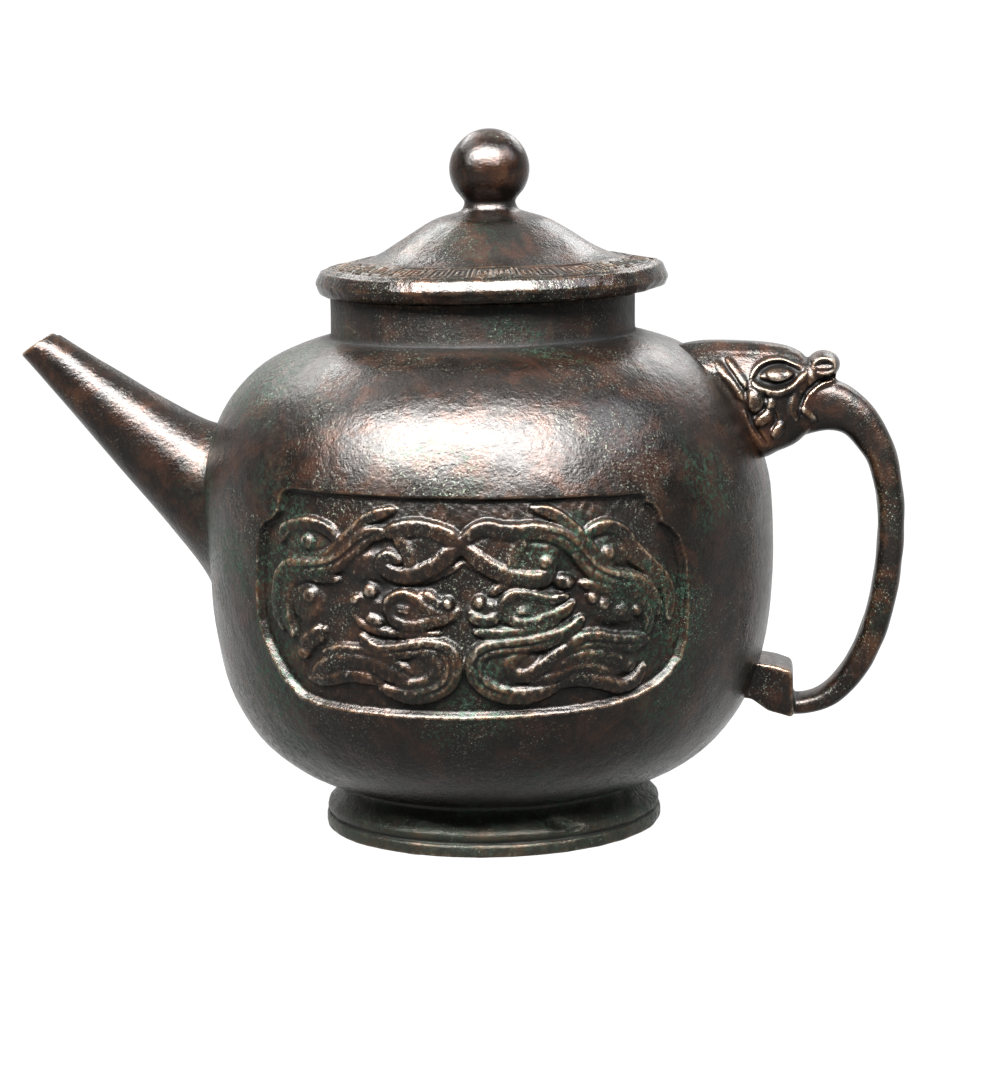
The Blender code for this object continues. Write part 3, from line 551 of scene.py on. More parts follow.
# Round bosses: radii, height as a share, place and tilt
PANEL_BOSSES = [
    ((2.5, 2.2), 0.98, (-36.2, 73.9), 0.0), ((2.1, 2.1), 1.0, (-36.5, 62.3), 0.0),
    ((1.9, 2.0), 0.98, (-21.0, 64.3), 0.3), ((2.6, 1.7), 0.86, (-20.3, 58.0), -0.3),
    ((2.5, 1.35), 1.08, (-13.3, 60.6), -0.12), ((1.5, 1.7), 1.12, (-3.8, 61.9), 0.2),
    ((2.2, 1.8), 0.92, (-39.3, 49.3), 0.4), ((1.9, 1.3), 0.74, (-24.6, 62.2), 0.5),
    ((2.2, 2.0), 1.02, (17.4, 70.4), 0.0), ((2.1, 2.1), 1.0, (31.4, 71.4), 0.0),
    ((1.6, 1.8), 1.10, (2.9, 62.1), -0.2), ((2.5, 1.35), 1.08, (12.0, 60.1), 0.0),
    ((2.6, 1.9), 0.94, (21.2, 66.0), -0.2), ((2.0, 1.8), 0.98, (29.6, 60.4), 0.0),
    ((2.3, 2.0), 0.92, (33.8, 58.9), 0.3), ((1.9, 1.7), 0.90, (37.6, 58.6), -0.4),
    ((2.2, 1.9), 0.94, (36.2, 46.4), 0.0), ((1.7, 1.9), 0.84, (27.6, 61.9), 0.5),
]
# Low masses that the bands lie on: half widths across and up, height as a share, and place
PANEL_MASSES = [
    ((7.4, 4.4), 0.74, (-12.2, 60.6)), ((5.0, 2.6), 0.66, (-6.0, 59.6)), ((8.4, 4.6), 0.74, (13.6, 60.4)),
    ((4.6, 2.6), 0.60, (4.6, 60.2)), ((7.0, 4.2), 0.60, (-7.6, 73.2)), ((7.0, 4.2), 0.60, (6.6, 73.0)),
    ((7.6, 4.6), 0.58, (14.6, 71.4)), ((7.0, 5.0), 0.60, (-8.0, 47.2)), ((8.6, 5.2), 0.60, (9.4, 47.2)),
    ((11.0, 4.0), 0.55, (-26.5, 46.6)), ((11.5, 4.8), 0.55, (29.5, 47.6)),
    ((7.6, 4.6), 0.60, (33.5, 60.0)), ((6.0, 4.0), 0.48, (-37.0, 74.2)), ((7.0, 4.4), 0.50, (33.4, 72.4)),
    ((5.4, 5.0), 0.41, (-38.0, 60.6)), ((6.0, 3.0), 0.41, (-22.0, 60.6)),
    ((12.0, 2.6), 0.48, (-32.0, 70.2)), ((8.0, 3.6), 0.43, (-20.5, 69.5)),
]
# Grooves cut along the broad bands, as the mould-maker's tool left them
PANEL_GROOVES = [
    (0.42, 0.42, [(-18.2, 76.9), (-22.4, 74.9), (-26.2, 71.9), (-30.2, 69.6), (-36.0, 68.4),
                  (-41.2, 67.8)]),
    (0.40, 0.45, [(-17.8, 51.2), (-12.8, 51.8), (-7.6, 52.3), (-4.2, 50.6), (-3.4, 47.4), (-5.0, 43.9),
                  (-9.6, 41.8)]),
    (0.42, 0.42, [(17.2, 77.0), (21.6, 75.4), (24.9, 72.0), (27.8, 68.4), (32.4, 66.0), (38.0, 64.3)]),
    (0.40, 0.45, [(18.6, 53.7), (12.6, 52.7), (6.6, 52.2), (2.6, 50.4), (2.0, 47.2), (3.8, 43.9),
                  (8.6, 41.8)]),
    (0.38, 0.38, [(22.8, 51.5), (27.0, 52.8), (32.0, 51.8), (38.4, 51.3)]),
    (0.30, 0.30, [(9.9, 60.1), (12.0, 60.5), (14.2, 60.0)]),
    (0.30, 0.30, [(-15.4, 60.7), (-13.3, 60.8), (-11.1, 60.2)]),
]
# Radius at which places round are measured, width of the panel's steep wall, and how much wider it is below
PANEL_ROUND = 64.0
PANEL_EDGE = 0.5
PANEL_BEVEL = 0.35
# Height and width of the burr along the panel's lower edge
BURR = 0.17
BURR_WIDTH = 0.34
# The back has only the bands whose half width is over this
BROAD_BAND = 1.8
# Columns of the belly's mesh in a turn, those split finer to each side of a panel's middle, and how finely
BELLY_COLUMNS = 168
PATCH_COLUMNS = 24
FRONT_SPLIT = 7
BACK_SPLIT = 4
# Cast flaw on the foot: degrees round and millimetres up, with its depth and width
FOOT_FLAW = [(24, 8.2), (27, 6.2), (29.5, 6.6), (32, 4.6), (35, 4.9)]
FOOT_FLAW_DEPTH = 0.8
FOOT_FLAW_WIDTH = 0.8
# Unevenness of each surface: height and pitch in millimetres, and where its waves start
BELLY_SWELLS = (0.16, 46, 0.4)
BODY_LUMPS = (0.10, 17, 2.1)
FOOT_FACETS = (0.12, 9, 4.0)
GROUND_STROKES = (0.10, 3.4, 1.0)
GROUND_PITS = (0.07, 1.5, 2.0)
BURR_BREAKS = (0.8, 4.0, 1.4)


def panel_field(degrees, z, plain=False):
    """Height over the belly, relief over the ground and share of full depth, at places on the belly."""
    s = np.radians(degrees) * PANEL_ROUND
    outline = np.array([(math.radians(a) * PANEL_ROUND, up) for a, up in PANEL_OUTLINE])
    inside = outline_distance(s, z, outline)
    depth = sizes().panel_depth / MM
    crest = sizes().relief_height / MM
    relief = np.zeros(s.shape)
    if not plain:
        for (across, tall), share, (x, up) in PANEL_MASSES:
            reach = np.hypot((s - x) / across, (z - up) / tall)
            np.maximum(relief, share * crest * smooth_step(1.15, 0.55, reach), out=relief)
    for half, share, points in LEFT_BANDS + RIGHT_BANDS:
        if half > BROAD_BAND or not plain:
            raise_band(relief, s, z, half, share * crest, points, **CAST_BAND)
    if not plain:
        for radii, share, place, tilt in PANEL_BOSSES:
            raise_boss(relief, s, z, radii, share * crest, place, tilt)
        for half, cut, points in PANEL_GROOVES:
            cut_line(relief, s, z, half, cut, points)
    relief = np.maximum(relief, 0) * smooth_step(0.6, 1.8, inside)
    # The wall is steep along the top and a broad bevel below
    low = smooth_step(56, 42, z)
    edge = PANEL_EDGE + PANEL_BEVEL * low
    ground = -depth * (1 + 0.2 * smooth_step(60, 80, z)) * smooth_step(0.0, 1.0, inside / edge)
    # A broken burr stands along the lower edge
    burr = BURR * low * (1 + uneven(s, z, s * 0.5, *BURR_BREAKS))
    ground += burr * np.exp(-(((inside + 0.3) / BURR_WIDTH) ** 2))
    tooled = uneven(s * 1.3, z * 0.4, z, *GROUND_STROKES) + uneven(s, z * 0.7, z, *GROUND_PITS)
    return ground + relief + tooled * smooth_step(0.4, 1.6, inside), relief, smooth_step(0.0, 1.0, inside)


def belly_line():
    """Points of the belly's outline from the foot's waist to the neck, closer where it bends."""
    low_share = (WIDEST_Z - foot_top()) / BASE_DEPTH
    high_share = (neck_base() - WIDEST_Z) / SHOULDER_HEIGHT
    low = np.sin(np.linspace(math.asin(low_share ** (BASE_BEND / 2)), 0, 500))
    high = np.sin(np.linspace(0, math.asin(high_share ** (SHOULDER_BEND / 2)), 500))[1:]
    low_z = WIDEST_Z - BASE_DEPTH * low ** (2 / BASE_BEND)
    z = np.concatenate([low_z, WIDEST_Z + SHOULDER_HEIGHT * high ** (2 / SHOULDER_BEND)])
    return np.column_stack([belly_radius(z), z])


def vessel_profile():
    """From the recess under the foot, round the foot, up the belly and the neck, and down the inside."""
    p = Profile()
    inner = FOOT_RADIUS - FOOT_RING
    groove = FOOT_RADIUS - FOOT_GROOVE
    collar, collar_z = FOOT_RADIUS - FOOT_GROOVE / 3, FOOT_BAND + 1.8
    top = foot_top()
    recess = inner - RECESS_CORNER
    p.add([(0, FOOT_RECESS), (recess, FOOT_RECESS)], 7)
    p.add(arc((recess, FOOT_RECESS - RECESS_CORNER), RECESS_CORNER, 90, 0), 3)
    p.add([(inner, FOOT_INNER_EDGE)], 3)
    p.add(arc((inner + FOOT_INNER_EDGE, FOOT_INNER_EDGE), FOOT_INNER_EDGE, 180, 270, 3), 2)
    p.add([(FOOT_RADIUS - FOOT_EDGE, 0)], 2)
    p.add(arc((FOOT_RADIUS - FOOT_EDGE, FOOT_EDGE), FOOT_EDGE, -90, 0, 4), 3, "foot side")
    p.add([(FOOT_RADIUS, FOOT_BAND - 0.3), (FOOT_RADIUS - 0.15, FOOT_BAND)], 3)
    p.add([(groove, FOOT_BAND + 0.35), (groove, FOOT_BAND + 0.75)], 3)
    p.add([(collar - 0.1, collar_z - 0.5), (collar, collar_z), (collar - 0.25, collar_z + 0.8)], 4)
    cove = [(collar - 0.25, collar_z + 0.8), (collar - 1.9, collar_z + 2.6)]
    cove = smooth_line([*cove, (FOOT_WAIST + 0.35, top - 1.0), (FOOT_WAIST, top)], 5)
    p.add(cove[1:], 6)
    belly = belly_line()
    patch_low, patch_high = np.searchsorted(belly[:, 1], (PATCH_LOW, PATCH_HIGH))
    p.add(belly[1:patch_low], 14, "belly")
    p.add(belly[patch_low:patch_high], 22, "patch")
    p.add(belly[patch_high:], 20, "shoulder")
    base = neck_base()
    fillet = [(NECK_RADIUS + 0.25, base + 0.12), (NECK_RADIUS + 0.05, base + NECK_FILLET)]
    p.add([*fillet, (NECK_RADIUS, base + 1.4)], 4, "neck")
    lip = base + NECK_HEIGHT
    bore = NECK_RADIUS - NECK_WALL
    p.add([(NECK_RADIUS, lip - LIP_EDGE)], 7)
    p.add(arc((NECK_RADIUS - LIP_EDGE, lip - LIP_EDGE), LIP_EDGE, 0, 90, 3), 2)
    p.add([(bore + LIP_EDGE, lip)], 2, "lip")
    p.add(arc((bore + LIP_EDGE, lip - LIP_EDGE), LIP_EDGE, 90, 180, 3), 2, "inner lip")
    p.add([(bore, base - 1.0)], 4)
    floor = FOOT_RECESS + FLOOR
    inside = [(r - WALL, h) for r, h in belly[::-1] if r - WALL > bore and floor + 4 < h < base - 3.5]
    p.add(inside[::25], 26)
    p.add([(inner - 3, floor + 0.6), (inner - 6, floor)], 4)
    p.add([(0, floor)], 5)
    return p.done()


def build_vessel():
    """Belly, neck and foot in one closed mesh, finer over the two panels."""
    p = vessel_profile()
    first, last = p.starts["patch"], p.starts["shoulder"]
    patches = [(first, last, -PATCH_COLUMNS, PATCH_COLUMNS, FRONT_SPLIT)]
    back = BELLY_COLUMNS // 2
    patches.append((first, last, back - PATCH_COLUMNS, back + PATCH_COLUMNS, BACK_SPLIT))
    places, faces = weave(len(p.rows), BELLY_COLUMNS, patches)
    rows, turn = places.T
    radius, z, out, up = p.at(rows)
    degrees = (turn * 360 / BELLY_COLUMNS + 180) % 360 - 180
    angle = np.radians(degrees)
    on_belly = (rows >= p.starts["belly"]) & (rows <= p.starts["neck"])
    on_patch = (rows >= first) & (rows <= last)
    shown = (rows > p.starts["foot side"]) & (rows <= p.starts["lip"])
    rise = np.zeros(len(rows))
    relief = np.zeros(len(rows))
    sunk = np.zeros(len(rows))
    reach = PATCH_COLUMNS * 360 / BELLY_COLUMNS
    for facing, plain in ((0, False), (180, True)):
        turned = (degrees - facing + 180) % 360 - 180
        near = np.flatnonzero(on_patch & (np.abs(turned) <= reach))
        rise[near], relief[near], sunk[near] = panel_field(turned[near], z[near], plain)
    x, y = radius * np.sin(angle), -radius * np.cos(angle)
    rise += uneven(x, y, z, *BELLY_SWELLS) * on_belly
    rise += uneven(x, y, z, *BODY_LUMPS) * shown
    # Low hand-worked facets and a cast flaw on the foot
    rise += uneven(x, y, z, *FOOT_FACETS) * (shown & (z < 11) & (radius > 34))
    flaw = distance_to_line(degrees, z, np.array(FOOT_FLAW))[0]
    rise -= FOOT_FLAW_DEPTH * np.exp(-((flaw / FOOT_FLAW_WIDTH) ** 2)) * (shown & (z < 10))
    radius_out = radius + rise * out
    x = radius_out * np.sin(angle) + sway(z)
    verts = np.column_stack([x, -radius_out * np.cos(angle), z + rise * up])
    neck = smooth_step(neck_base() - 0.4, neck_base() + 0.4, z) * (radius < NECK_RADIUS + 1.2)
    attributes = {
        "relief": relief / (sizes().relief_height / MM),
        "sunk": sunk,
        "matt": np.clip(neck * 0.9 + (rows > p.starts["inner lip"]), 0, 1),
        "foot": smooth_step(foot_top() + 1.5, foot_top() - 1.0, z),
    }
    return make_piece("ewer_vessel", verts, faces, patinated_cast_bronze("vessel"), "vessel", attributes)


# Spout: a straight tapered tube

SPOUT_ANGLE = math.radians(41.3)
SPOUT_PROJECTION = 38.7
SPOUT_TIP_UP = 34.7
SPOUT_TIP_RADIUS = 4.4
SPOUT_ROOT_RADIUS = 12.4
SPOUT_TIP_WALL = 1.6
# The mouth is cut askew, and how far down the bore that shows
SPOUT_SKEW = math.radians(15.5)
SPOUT_SKEW_REACH = 12
# How far in from the tip's edge and how far back the mouth's rounding runs
SPOUT_LIP = [(0, 1.0), (0.05, 0.55), (0.22, 0.2), (0.55, 0), (1.1, 0), (1.45, 0.2), (SPOUT_TIP_WALL, 0.7)]
SPOUT_BORE_TAPER = 0.17
SPOUT_BORE_DEPTHS = (3, 6, 10, 16, 24, 34)
# Flares at the root: height and reach
SPOUT_FLARES = ((1.3, 3.2), (0.9, 12))
SPOUT_ROOT_OVERLAP = 0.5
SPOUT_LUMPS = (0.10, 22, 0.8)
SPOUT_COLUMNS = 144


def build_spout():
    """The spout, flared where it meets the belly, with its bore open at the tip."""
    along = np.array([-math.cos(SPOUT_ANGLE), 0, math.sin(SPOUT_ANGLE)])
    upward = np.array([math.sin(SPOUT_ANGLE), 0, math.cos(SPOUT_ANGLE)])
    across = np.array([0, 1, 0])
    tip = np.array([-sizes().belly_radius / MM - SPOUT_PROJECTION, 0, WIDEST_Z + SPOUT_TIP_UP])
    length = SPOUT_PROJECTION / math.cos(SPOUT_ANGLE)
    taper = (SPOUT_ROOT_RADIUS - SPOUT_TIP_RADIUS) / length
    phi = np.arange(SPOUT_COLUMNS) * 2 * math.pi / SPOUT_COLUMNS
    whole = np.ones(SPOUT_COLUMNS)

    def place(radius, back):
        ring = upward * (radius * np.cos(phi))[:, None] + across * (radius * np.sin(phi))[:, None]
        return tip - along * back[:, None] + ring

    # Where each line of the tube meets the belly, found by halving
    near, far = 10.0 * whole, (length + 40) * whole
    flared = SPOUT_TIP_RADIUS + sum(height for height, _ in SPOUT_FLARES)
    for _ in range(40):
        middle = (near + far) / 2
        p = place(flared + taper * middle, middle)
        outside = np.hypot(p[:, 0] - sway(p[:, 2]), p[:, 1]) > belly_radius(p[:, 2])
        near, far = np.where(outside, middle, near), np.where(outside, far, middle)
    root = near + SPOUT_ROOT_OVERLAP
    skew = math.tan(SPOUT_SKEW) * np.cos(phi)
    bore = [(SPOUT_TIP_RADIUS - SPOUT_TIP_WALL + d * SPOUT_BORE_TAPER, d) for d in SPOUT_BORE_DEPTHS]
    mouth = [(SPOUT_TIP_RADIUS - inset, back) for inset, back in SPOUT_LIP]
    rings = []
    for radius, back in [(0, bore[-1][1] + 0.01)] + bore[::-1] + mouth[::-1]:
        held = min(1, max(0, 1.4 - back / SPOUT_SKEW_REACH))
        rings.append(place(radius * whole, back + radius * skew * held))
    # Rings stand closer near the root
    start = mouth[0][1] + SPOUT_TIP_RADIUS * skew
    for share in np.concatenate([np.linspace(0, 0.72, 46)[1:], np.linspace(0.72, 1, 30)[1:]]):
        back = start + (root - start) * share
        flare = sum(height * np.exp((back - root) / reach) for height, reach in SPOUT_FLARES)
        lumps = uneven(back, phi * 6, 1, *SPOUT_LUMPS)
        rings.append(place(SPOUT_TIP_RADIUS + taper * back + flare + lumps, back))
    rings.append(place(SPOUT_ROOT_RADIUS / 2 * whole, root + 3))
    rings.append(place(0 * whole, (root.mean() + 3) * whole))
    verts = np.vstack([rings[0][:1], *rings[1:-1], rings[-1][:1]])
    count = len(rings)
    faces = []

    def at(row, column):
        if row == 0:
            return 0
        if row == count - 1:
            return len(verts) - 1
        return 1 + (row - 1) * SPOUT_COLUMNS + column % SPOUT_COLUMNS

    for i in range(count - 1):
        for j in range(SPOUT_COLUMNS):
            ring = [at(i, j), at(i + 1, j), at(i + 1, j + 1), at(i, j + 1)]
            faces.append(tuple(v for n, v in enumerate(ring) if v != ring[n - 1]))
    return make_piece("ewer_spout", verts, faces, patinated_cast_bronze("spout"), "spout")


# Lid

LID_RADIUS = 40.1
LID_EDGE_HEIGHT = 5.2
LID_EDGE_WIDTH = 2.6
LID_BAND_WIDTH = 8.6
LID_BAND_RISE = 2.2
DOME_HEIGHT = 12.2
KNOB_RADIUS = 9.1
KNOB_STEM = 6.3
KNOB_STEM_HEIGHT = 1.4
FLANGE_RADIUS = NECK_RADIUS - NECK_WALL - 2.7
FLANGE_WALL = 2.0
FLANGE_DEPTH = 7.0
FLANGE_EDGE = 0.3
LID_WALL = 2.4
LID_GAP = 0.3
LID_COLUMNS = 288
BAND_SPLIT = 3
# The fret: keys in a turn, width of a key and of the band, place of the borders, and turn of the first key
FRET_CELLS = 44
FRET_CELL = 4.9
FRET_BAND = 9.6
FRET_BORDER = 3.7
FRET_START = 0.007
# One key of the fret, from its cell's middle
FRET_KEY = [
    (-2.0, -2.7), (-2.0, 2.6), (1.9, 2.6), (1.9, -1.6), (-0.7, -1.6), (-0.7, 1.2), (0.7, 1.2),
    (0.7, -0.4),
]
# Waves of the bent rim: height, number in a turn and where they start
RIM_WAVES = [(0.081, 2, 0.6), (0.0756, 5, 1.0), (0.0324, 11, 0.0)]
# The rim swells up towards the handle: height, and where and how wide in degrees
RIM_SWELL = 0.9
RIM_SWELL_PLACE = 84
RIM_SWELL_WIDTH = 26
LID_LUMPS = (0.10, 12, 3.2)
RIM_FACETS = (0.12, 6.3, 0.7)
FRET_WEAR = (0.38, 31, 0.6)
FRET_LEFT = 0.62


def lid_profile():
    """From the knob's top over the dome and the fret band, round the rim and into the hollow."""
    p = Profile()
    seat = neck_base() + NECK_HEIGHT + LID_GAP
    rim_top = seat + LID_EDGE_HEIGHT
    band_outer = LID_RADIUS - LID_EDGE_WIDTH
    band_inner = band_outer - LID_BAND_WIDTH
    band_z = rim_top + LID_BAND_RISE
    dome_top = band_z + DOME_HEIGHT
    knob_z = dome_top + KNOB_STEM_HEIGHT + math.sqrt(KNOB_RADIUS**2 - KNOB_STEM**2)
    low = 14 - math.degrees(math.acos(KNOB_STEM / KNOB_RADIUS))
    knob = arc((0, knob_z), KNOB_RADIUS, 90, low, 44)
    p.add(knob, 24)
    stem = [knob[-1], (KNOB_STEM - 0.35, dome_top + 1.0), (KNOB_STEM - 0.45, dome_top + 0.1)]
    p.add(smooth_line([*stem, (KNOB_STEM - 0.1, dome_top - 0.8)], 8)[1:], 16, "stem")
    dome = [(KNOB_STEM + 0.5, dome_top - 1.5), (KNOB_STEM + 2.4, dome_top - 2.1), (13.3, band_z + 8.7)]
    dome += [(17.5, band_z + 6.2), (20.8, band_z + 4.1), (24.4, band_z + 1.9), (27.4, band_z + 0.55)]
    dome = smooth_line([*dome, (band_inner, band_z)], 8)
    p.add(dome, 34)
    edge = LID_RADIUS - 1.5
    band = [(band_inner, band_z), (band_inner + 3.2, rim_top + 1.5), (band_outer - 1.6, rim_top + 0.55)]
    p.add(smooth_line([*band, (edge, rim_top + 0.1)], 6)[1:], 10, "band")
    rim = [(edge, rim_top + 0.1), (edge + 0.35, rim_top - 0.05), (LID_RADIUS - 0.75, rim_top - 0.8)]
    rim += [(LID_RADIUS - 0.1, rim_top - 2.1), (LID_RADIUS, rim_top - 2.7)]
    rim += [(LID_RADIUS - 0.3, rim_top - 3.4), (LID_RADIUS - 0.9, rim_top - 4.7), (LID_RADIUS - 1.6, seat)]
    p.add(smooth_line(rim, 5)[1:], 16, "rim")
    p.add([(FLANGE_RADIUS + FLANGE_EDGE, seat)], 5)
    end, inner = seat - FLANGE_DEPTH, FLANGE_RADIUS - FLANGE_WALL
    p.add([(FLANGE_RADIUS, seat - FLANGE_EDGE), (FLANGE_RADIUS, end + FLANGE_EDGE)], 5, "flange")
    p.add([(FLANGE_RADIUS - FLANGE_EDGE, end), (inner + FLANGE_EDGE, end)], 2)
    p.add([(inner, end + FLANGE_EDGE), (inner, seat + 1.2)], 4)
    p.add([(r, h - LID_WALL) for r, h in dome[-15:7:-6]], 9)
    p.add([(0, dome_top - 2.6)], 4)
    return p.done()


def fret_field(turn_share, across):
    """Height of the fret, 0 to 1, at a share of a turn and a place across the band from its middle."""
    cell = turn_share * FRET_CELLS
    number = np.floor(cell)
    u = (cell - number - 0.5) * FRET_CELL
    u = np.where(number % 2 > 0, -u, u)
    v = np.where(number % 4 > 1, -across, across)
    lines = smooth_step(0.52, 0.26, distance_to_line(u, v, np.array(FRET_KEY))[0])
    border = smooth_step(0.45, 0.2, np.abs(np.abs(across) - FRET_BORDER))
    return np.maximum(lines, border)


def build_lid():
    """Knob, dome, fret band and rim in one closed mesh, finer over the band."""
    p = lid_profile()
    band, rim = p.starts["band"], p.starts["rim"]
    places, faces = weave(len(p.rows), LID_COLUMNS, [(band, rim, 0, LID_COLUMNS, BAND_SPLIT)])
    rows, turn = places.T
    radius, z, out, up = p.at(rows)
    # This profile runs downwards, so its normal and its faces are turned round
    out, up = -out, -up
    faces = [face[::-1] for face in faces]
    angle = turn * 2 * math.pi / LID_COLUMNS
    x, y = radius * np.sin(angle), -radius * np.cos(angle)
    from_middle = rows - (band + rim) / 2
    on_band = np.flatnonzero((rows >= band) & (rows <= rim))
    fret = np.zeros(len(rows))
    across = from_middle[on_band] * FRET_BAND / (rim - band)
    fret[on_band] = fret_field((turn[on_band] / LID_COLUMNS + FRET_START) % 1, across)
    # The fret is rubbed away in places
    rise = fret * (FRET_LEFT + uneven(x, y, z, *FRET_WEAR)) * sizes().fret_height / MM
    outer = rows <= p.starts["flange"]
    on_rim = smooth_step(30.5, 36.5, radius) * outer
    rise += uneven(x, y, z, *LID_LUMPS) * outer
    rise += uneven(x, y, z, *RIM_FACETS) * on_rim * smooth_step(37, 38.5, radius)
    # The rim is a little bent and swells on the handle's side
    bent = sum(height * np.sin(number * angle + start) for height, number, start in RIM_WAVES)
    from_swell = (np.degrees(angle) - RIM_SWELL_PLACE + 180) % 360 - 180
    swell = RIM_SWELL * np.exp(-((from_swell / RIM_SWELL_WIDTH) ** 2))
    lift = on_rim * (bent + swell * smooth_step(29, 33, radius) * smooth_step(40.2, 38, radius))
    radius_out = radius + rise * out
    x = radius_out * np.sin(angle) + LID_OFFSET
    verts = np.column_stack([x, -radius_out * np.cos(angle), z + rise * up + lift])
    # Handling has polished the knob most
    knob = z > p.at(p.starts["stem"])[1]
    attributes = {
        "matt": np.where(knob, -0.6, -0.3),
        "relief": fret * 0.6,
        "sunk": smooth_step(0, 1.5, 4.3 - np.abs(from_middle * 0.86)) * outer,
    }
    return make_piece("ewer_lid", verts, faces, patinated_cast_bronze("lid"), "lid", attributes)


# Handle: bar, dragon's head and lug

# Middle line of the bar out from the axis and up, with its thickness
BAR = [
    (69.5, 94.6, 12.2), (77.5, 96.0, 12.0), (84.1, 93.2, 9.4), (88.6, 87.4, 7.7), (91.2, 80.7, 6.6),
    (92.4, 70.3, 6.1), (91.6, 58.3, 6.1), (89.3, 47.1, 6.1), (86.0, 38.6, 6.0), (82.2, 32.8, 5.6),
    (77.6, 28.6, 5.0), (73.0, 27.0, 4.5), (68.5, 26.7, 4.3),
]
BAR_DEPTH = 9.9
BAR_SQUARENESS = 2.9
# Upright sections of the skull and snout: out, top, bottom, half width
SKULL = [
    (43.0, 109.9, 103.5, 6.0), (49.0, 110.7, 98.5, 8.6), (55.5, 110.8, 90.5, 10.0),
    (62.0, 110.5, 84.6, 10.5), (67.0, 109.8, 85.9, 9.6), (70.6, 108.7, 87.4, 7.8),
    (73.0, 107.1, 89.3, 6.2), (75.6, 103.0, 92.0, 5.0),
]
SNOUT = [
    (69.0, 108.4, 97.6, 7.6), (73.6, 106.6, 98.8, 6.2), (77.2, 106.4, 100.4, 5.0),
    (80.0, 105.0, 101.8, 4.2),
]
LUG = [
    (61.0, 37.9), (66.2, 37.0), (69.3, 35.9), (69.8, 34.8), (69.9, 25.6), (69.3, 25.0), (64.2, 26.5),
    (60.3, 29.2), (57.0, 29.8), (57.0, 38.4),
]
LUG_DEPTH = 16.4
# The lug's edges are rounded: share of its half depth, and inset
LUG_SLICES = ((-1, 0.7), (-0.985, 0.25), (-0.93, 0), (0.93, 0), (0.985, 0.25), (1, 0.7))
# Squareness of the sections, and the flat crown's share of their width
SKULL_SHAPE = (4.2, 0.52)
SNOUT_SHAPE = (3.0, 0.7)
# The nose lies across the snout like an oval button: place, radii and squareness
NOSE_PLACE = (77.3, 0, 105.2)
NOSE_RADII = (3.7, 6.2, 2.9)
NOSE_SQUARENESS = 3.2
HANDLE_LUMPS = (0.10, 11, 1.3)


def superellipse(half_width, half_height, power, sides):
    """A ring of points from an ellipse towards a rectangle as its power grows from 2."""
    angle = 2 * math.pi * (np.arange(sides) + 0.5) / sides
    c, s = np.cos(angle), np.sin(angle)
    across = half_width * np.sign(c) * np.abs(c) ** (2 / power)
    return np.column_stack([across, half_height * np.sign(s) * np.abs(s) ** (2 / power)])


def skin(rings):
    """Vertices and faces of a closed skin over rings of equally many points."""
    rings = [np.asarray(r, float) for r in rings]
    n = len(rings[0])
    faces = [tuple(range(n))[::-1], tuple(range((len(rings) - 1) * n, len(rings) * n))]
    for i in range(len(rings) - 1):
        for j in range(n):
            k = (j + 1) % n
            faces.append((i * n + j, i * n + k, (i + 1) * n + k, (i + 1) * n + j))
    return np.vstack(rings), faces


def bar_skin():
    """The bar, with its sections square to its middle line."""
    line = smooth_line(BAR, 5)
    ahead = np.gradient(line[:, :2], axis=0)
    ahead /= np.linalg.norm(ahead, axis=1)[:, None]
    rings = []
    for (out, up, thick), (ax, az) in zip(line, ahead):
        section = superellipse(BAR_DEPTH / 2, thick / 2, BAR_SQUARENESS, 28)
        rings.append([(out - az * rise, across, up + ax * rise) for across, rise in section])
    return skin(rings)


def head_skin(stations, squareness, crown):
    """Part of the head over upright sections whose upper corners slope to a flat crown."""
    rings = []
    for out, top, bottom, half in smooth_line(stations, 5):
        section = superellipse(half, (top - bottom) / 2, squareness, 48)
        upper = np.clip((section[:, 1] / (top - bottom) * 2 - 0.2) / 0.72, 0, 1)
        section[:, 0] *= 1 - (1 - crown) * upper
        rings.append([(out, across, (top + bottom) / 2 + rise) for across, rise in section])
    return skin(rings)


def lug_skin():
    """The block that the bar's lower end is cast on."""
    middle = np.mean(LUG, axis=0)
    gaps = np.array(LUG) - middle
    reach = np.linalg.norm(gaps, axis=1)[:, None]
    rings = []
    for across, inset in LUG_SLICES:
        ring = middle + gaps * (1 - inset / reach)
        rings.append([(x, across * LUG_DEPTH / 2, z) for x, z in ring])
    return skin(rings)


def nose_skin(steps=14):
    """The nose, flatter on its two ends as its squareness grows."""
    (x, y, z), (long, wide, tall) = NOSE_PLACE, NOSE_RADII
    rings = []
    for i in range(1, steps):
        a = math.pi * i / steps
        share = math.sin(a) ** (2 / NOSE_SQUARENESS)
        across = -math.copysign(abs(math.cos(a)) ** (2 / NOSE_SQUARENESS), math.cos(a))
        ring = superellipse(share, share, 2, 24)
        rings.append([(x + long * u, y + wide * across, z + tall * v) for u, v in ring])
    return skin(rings)


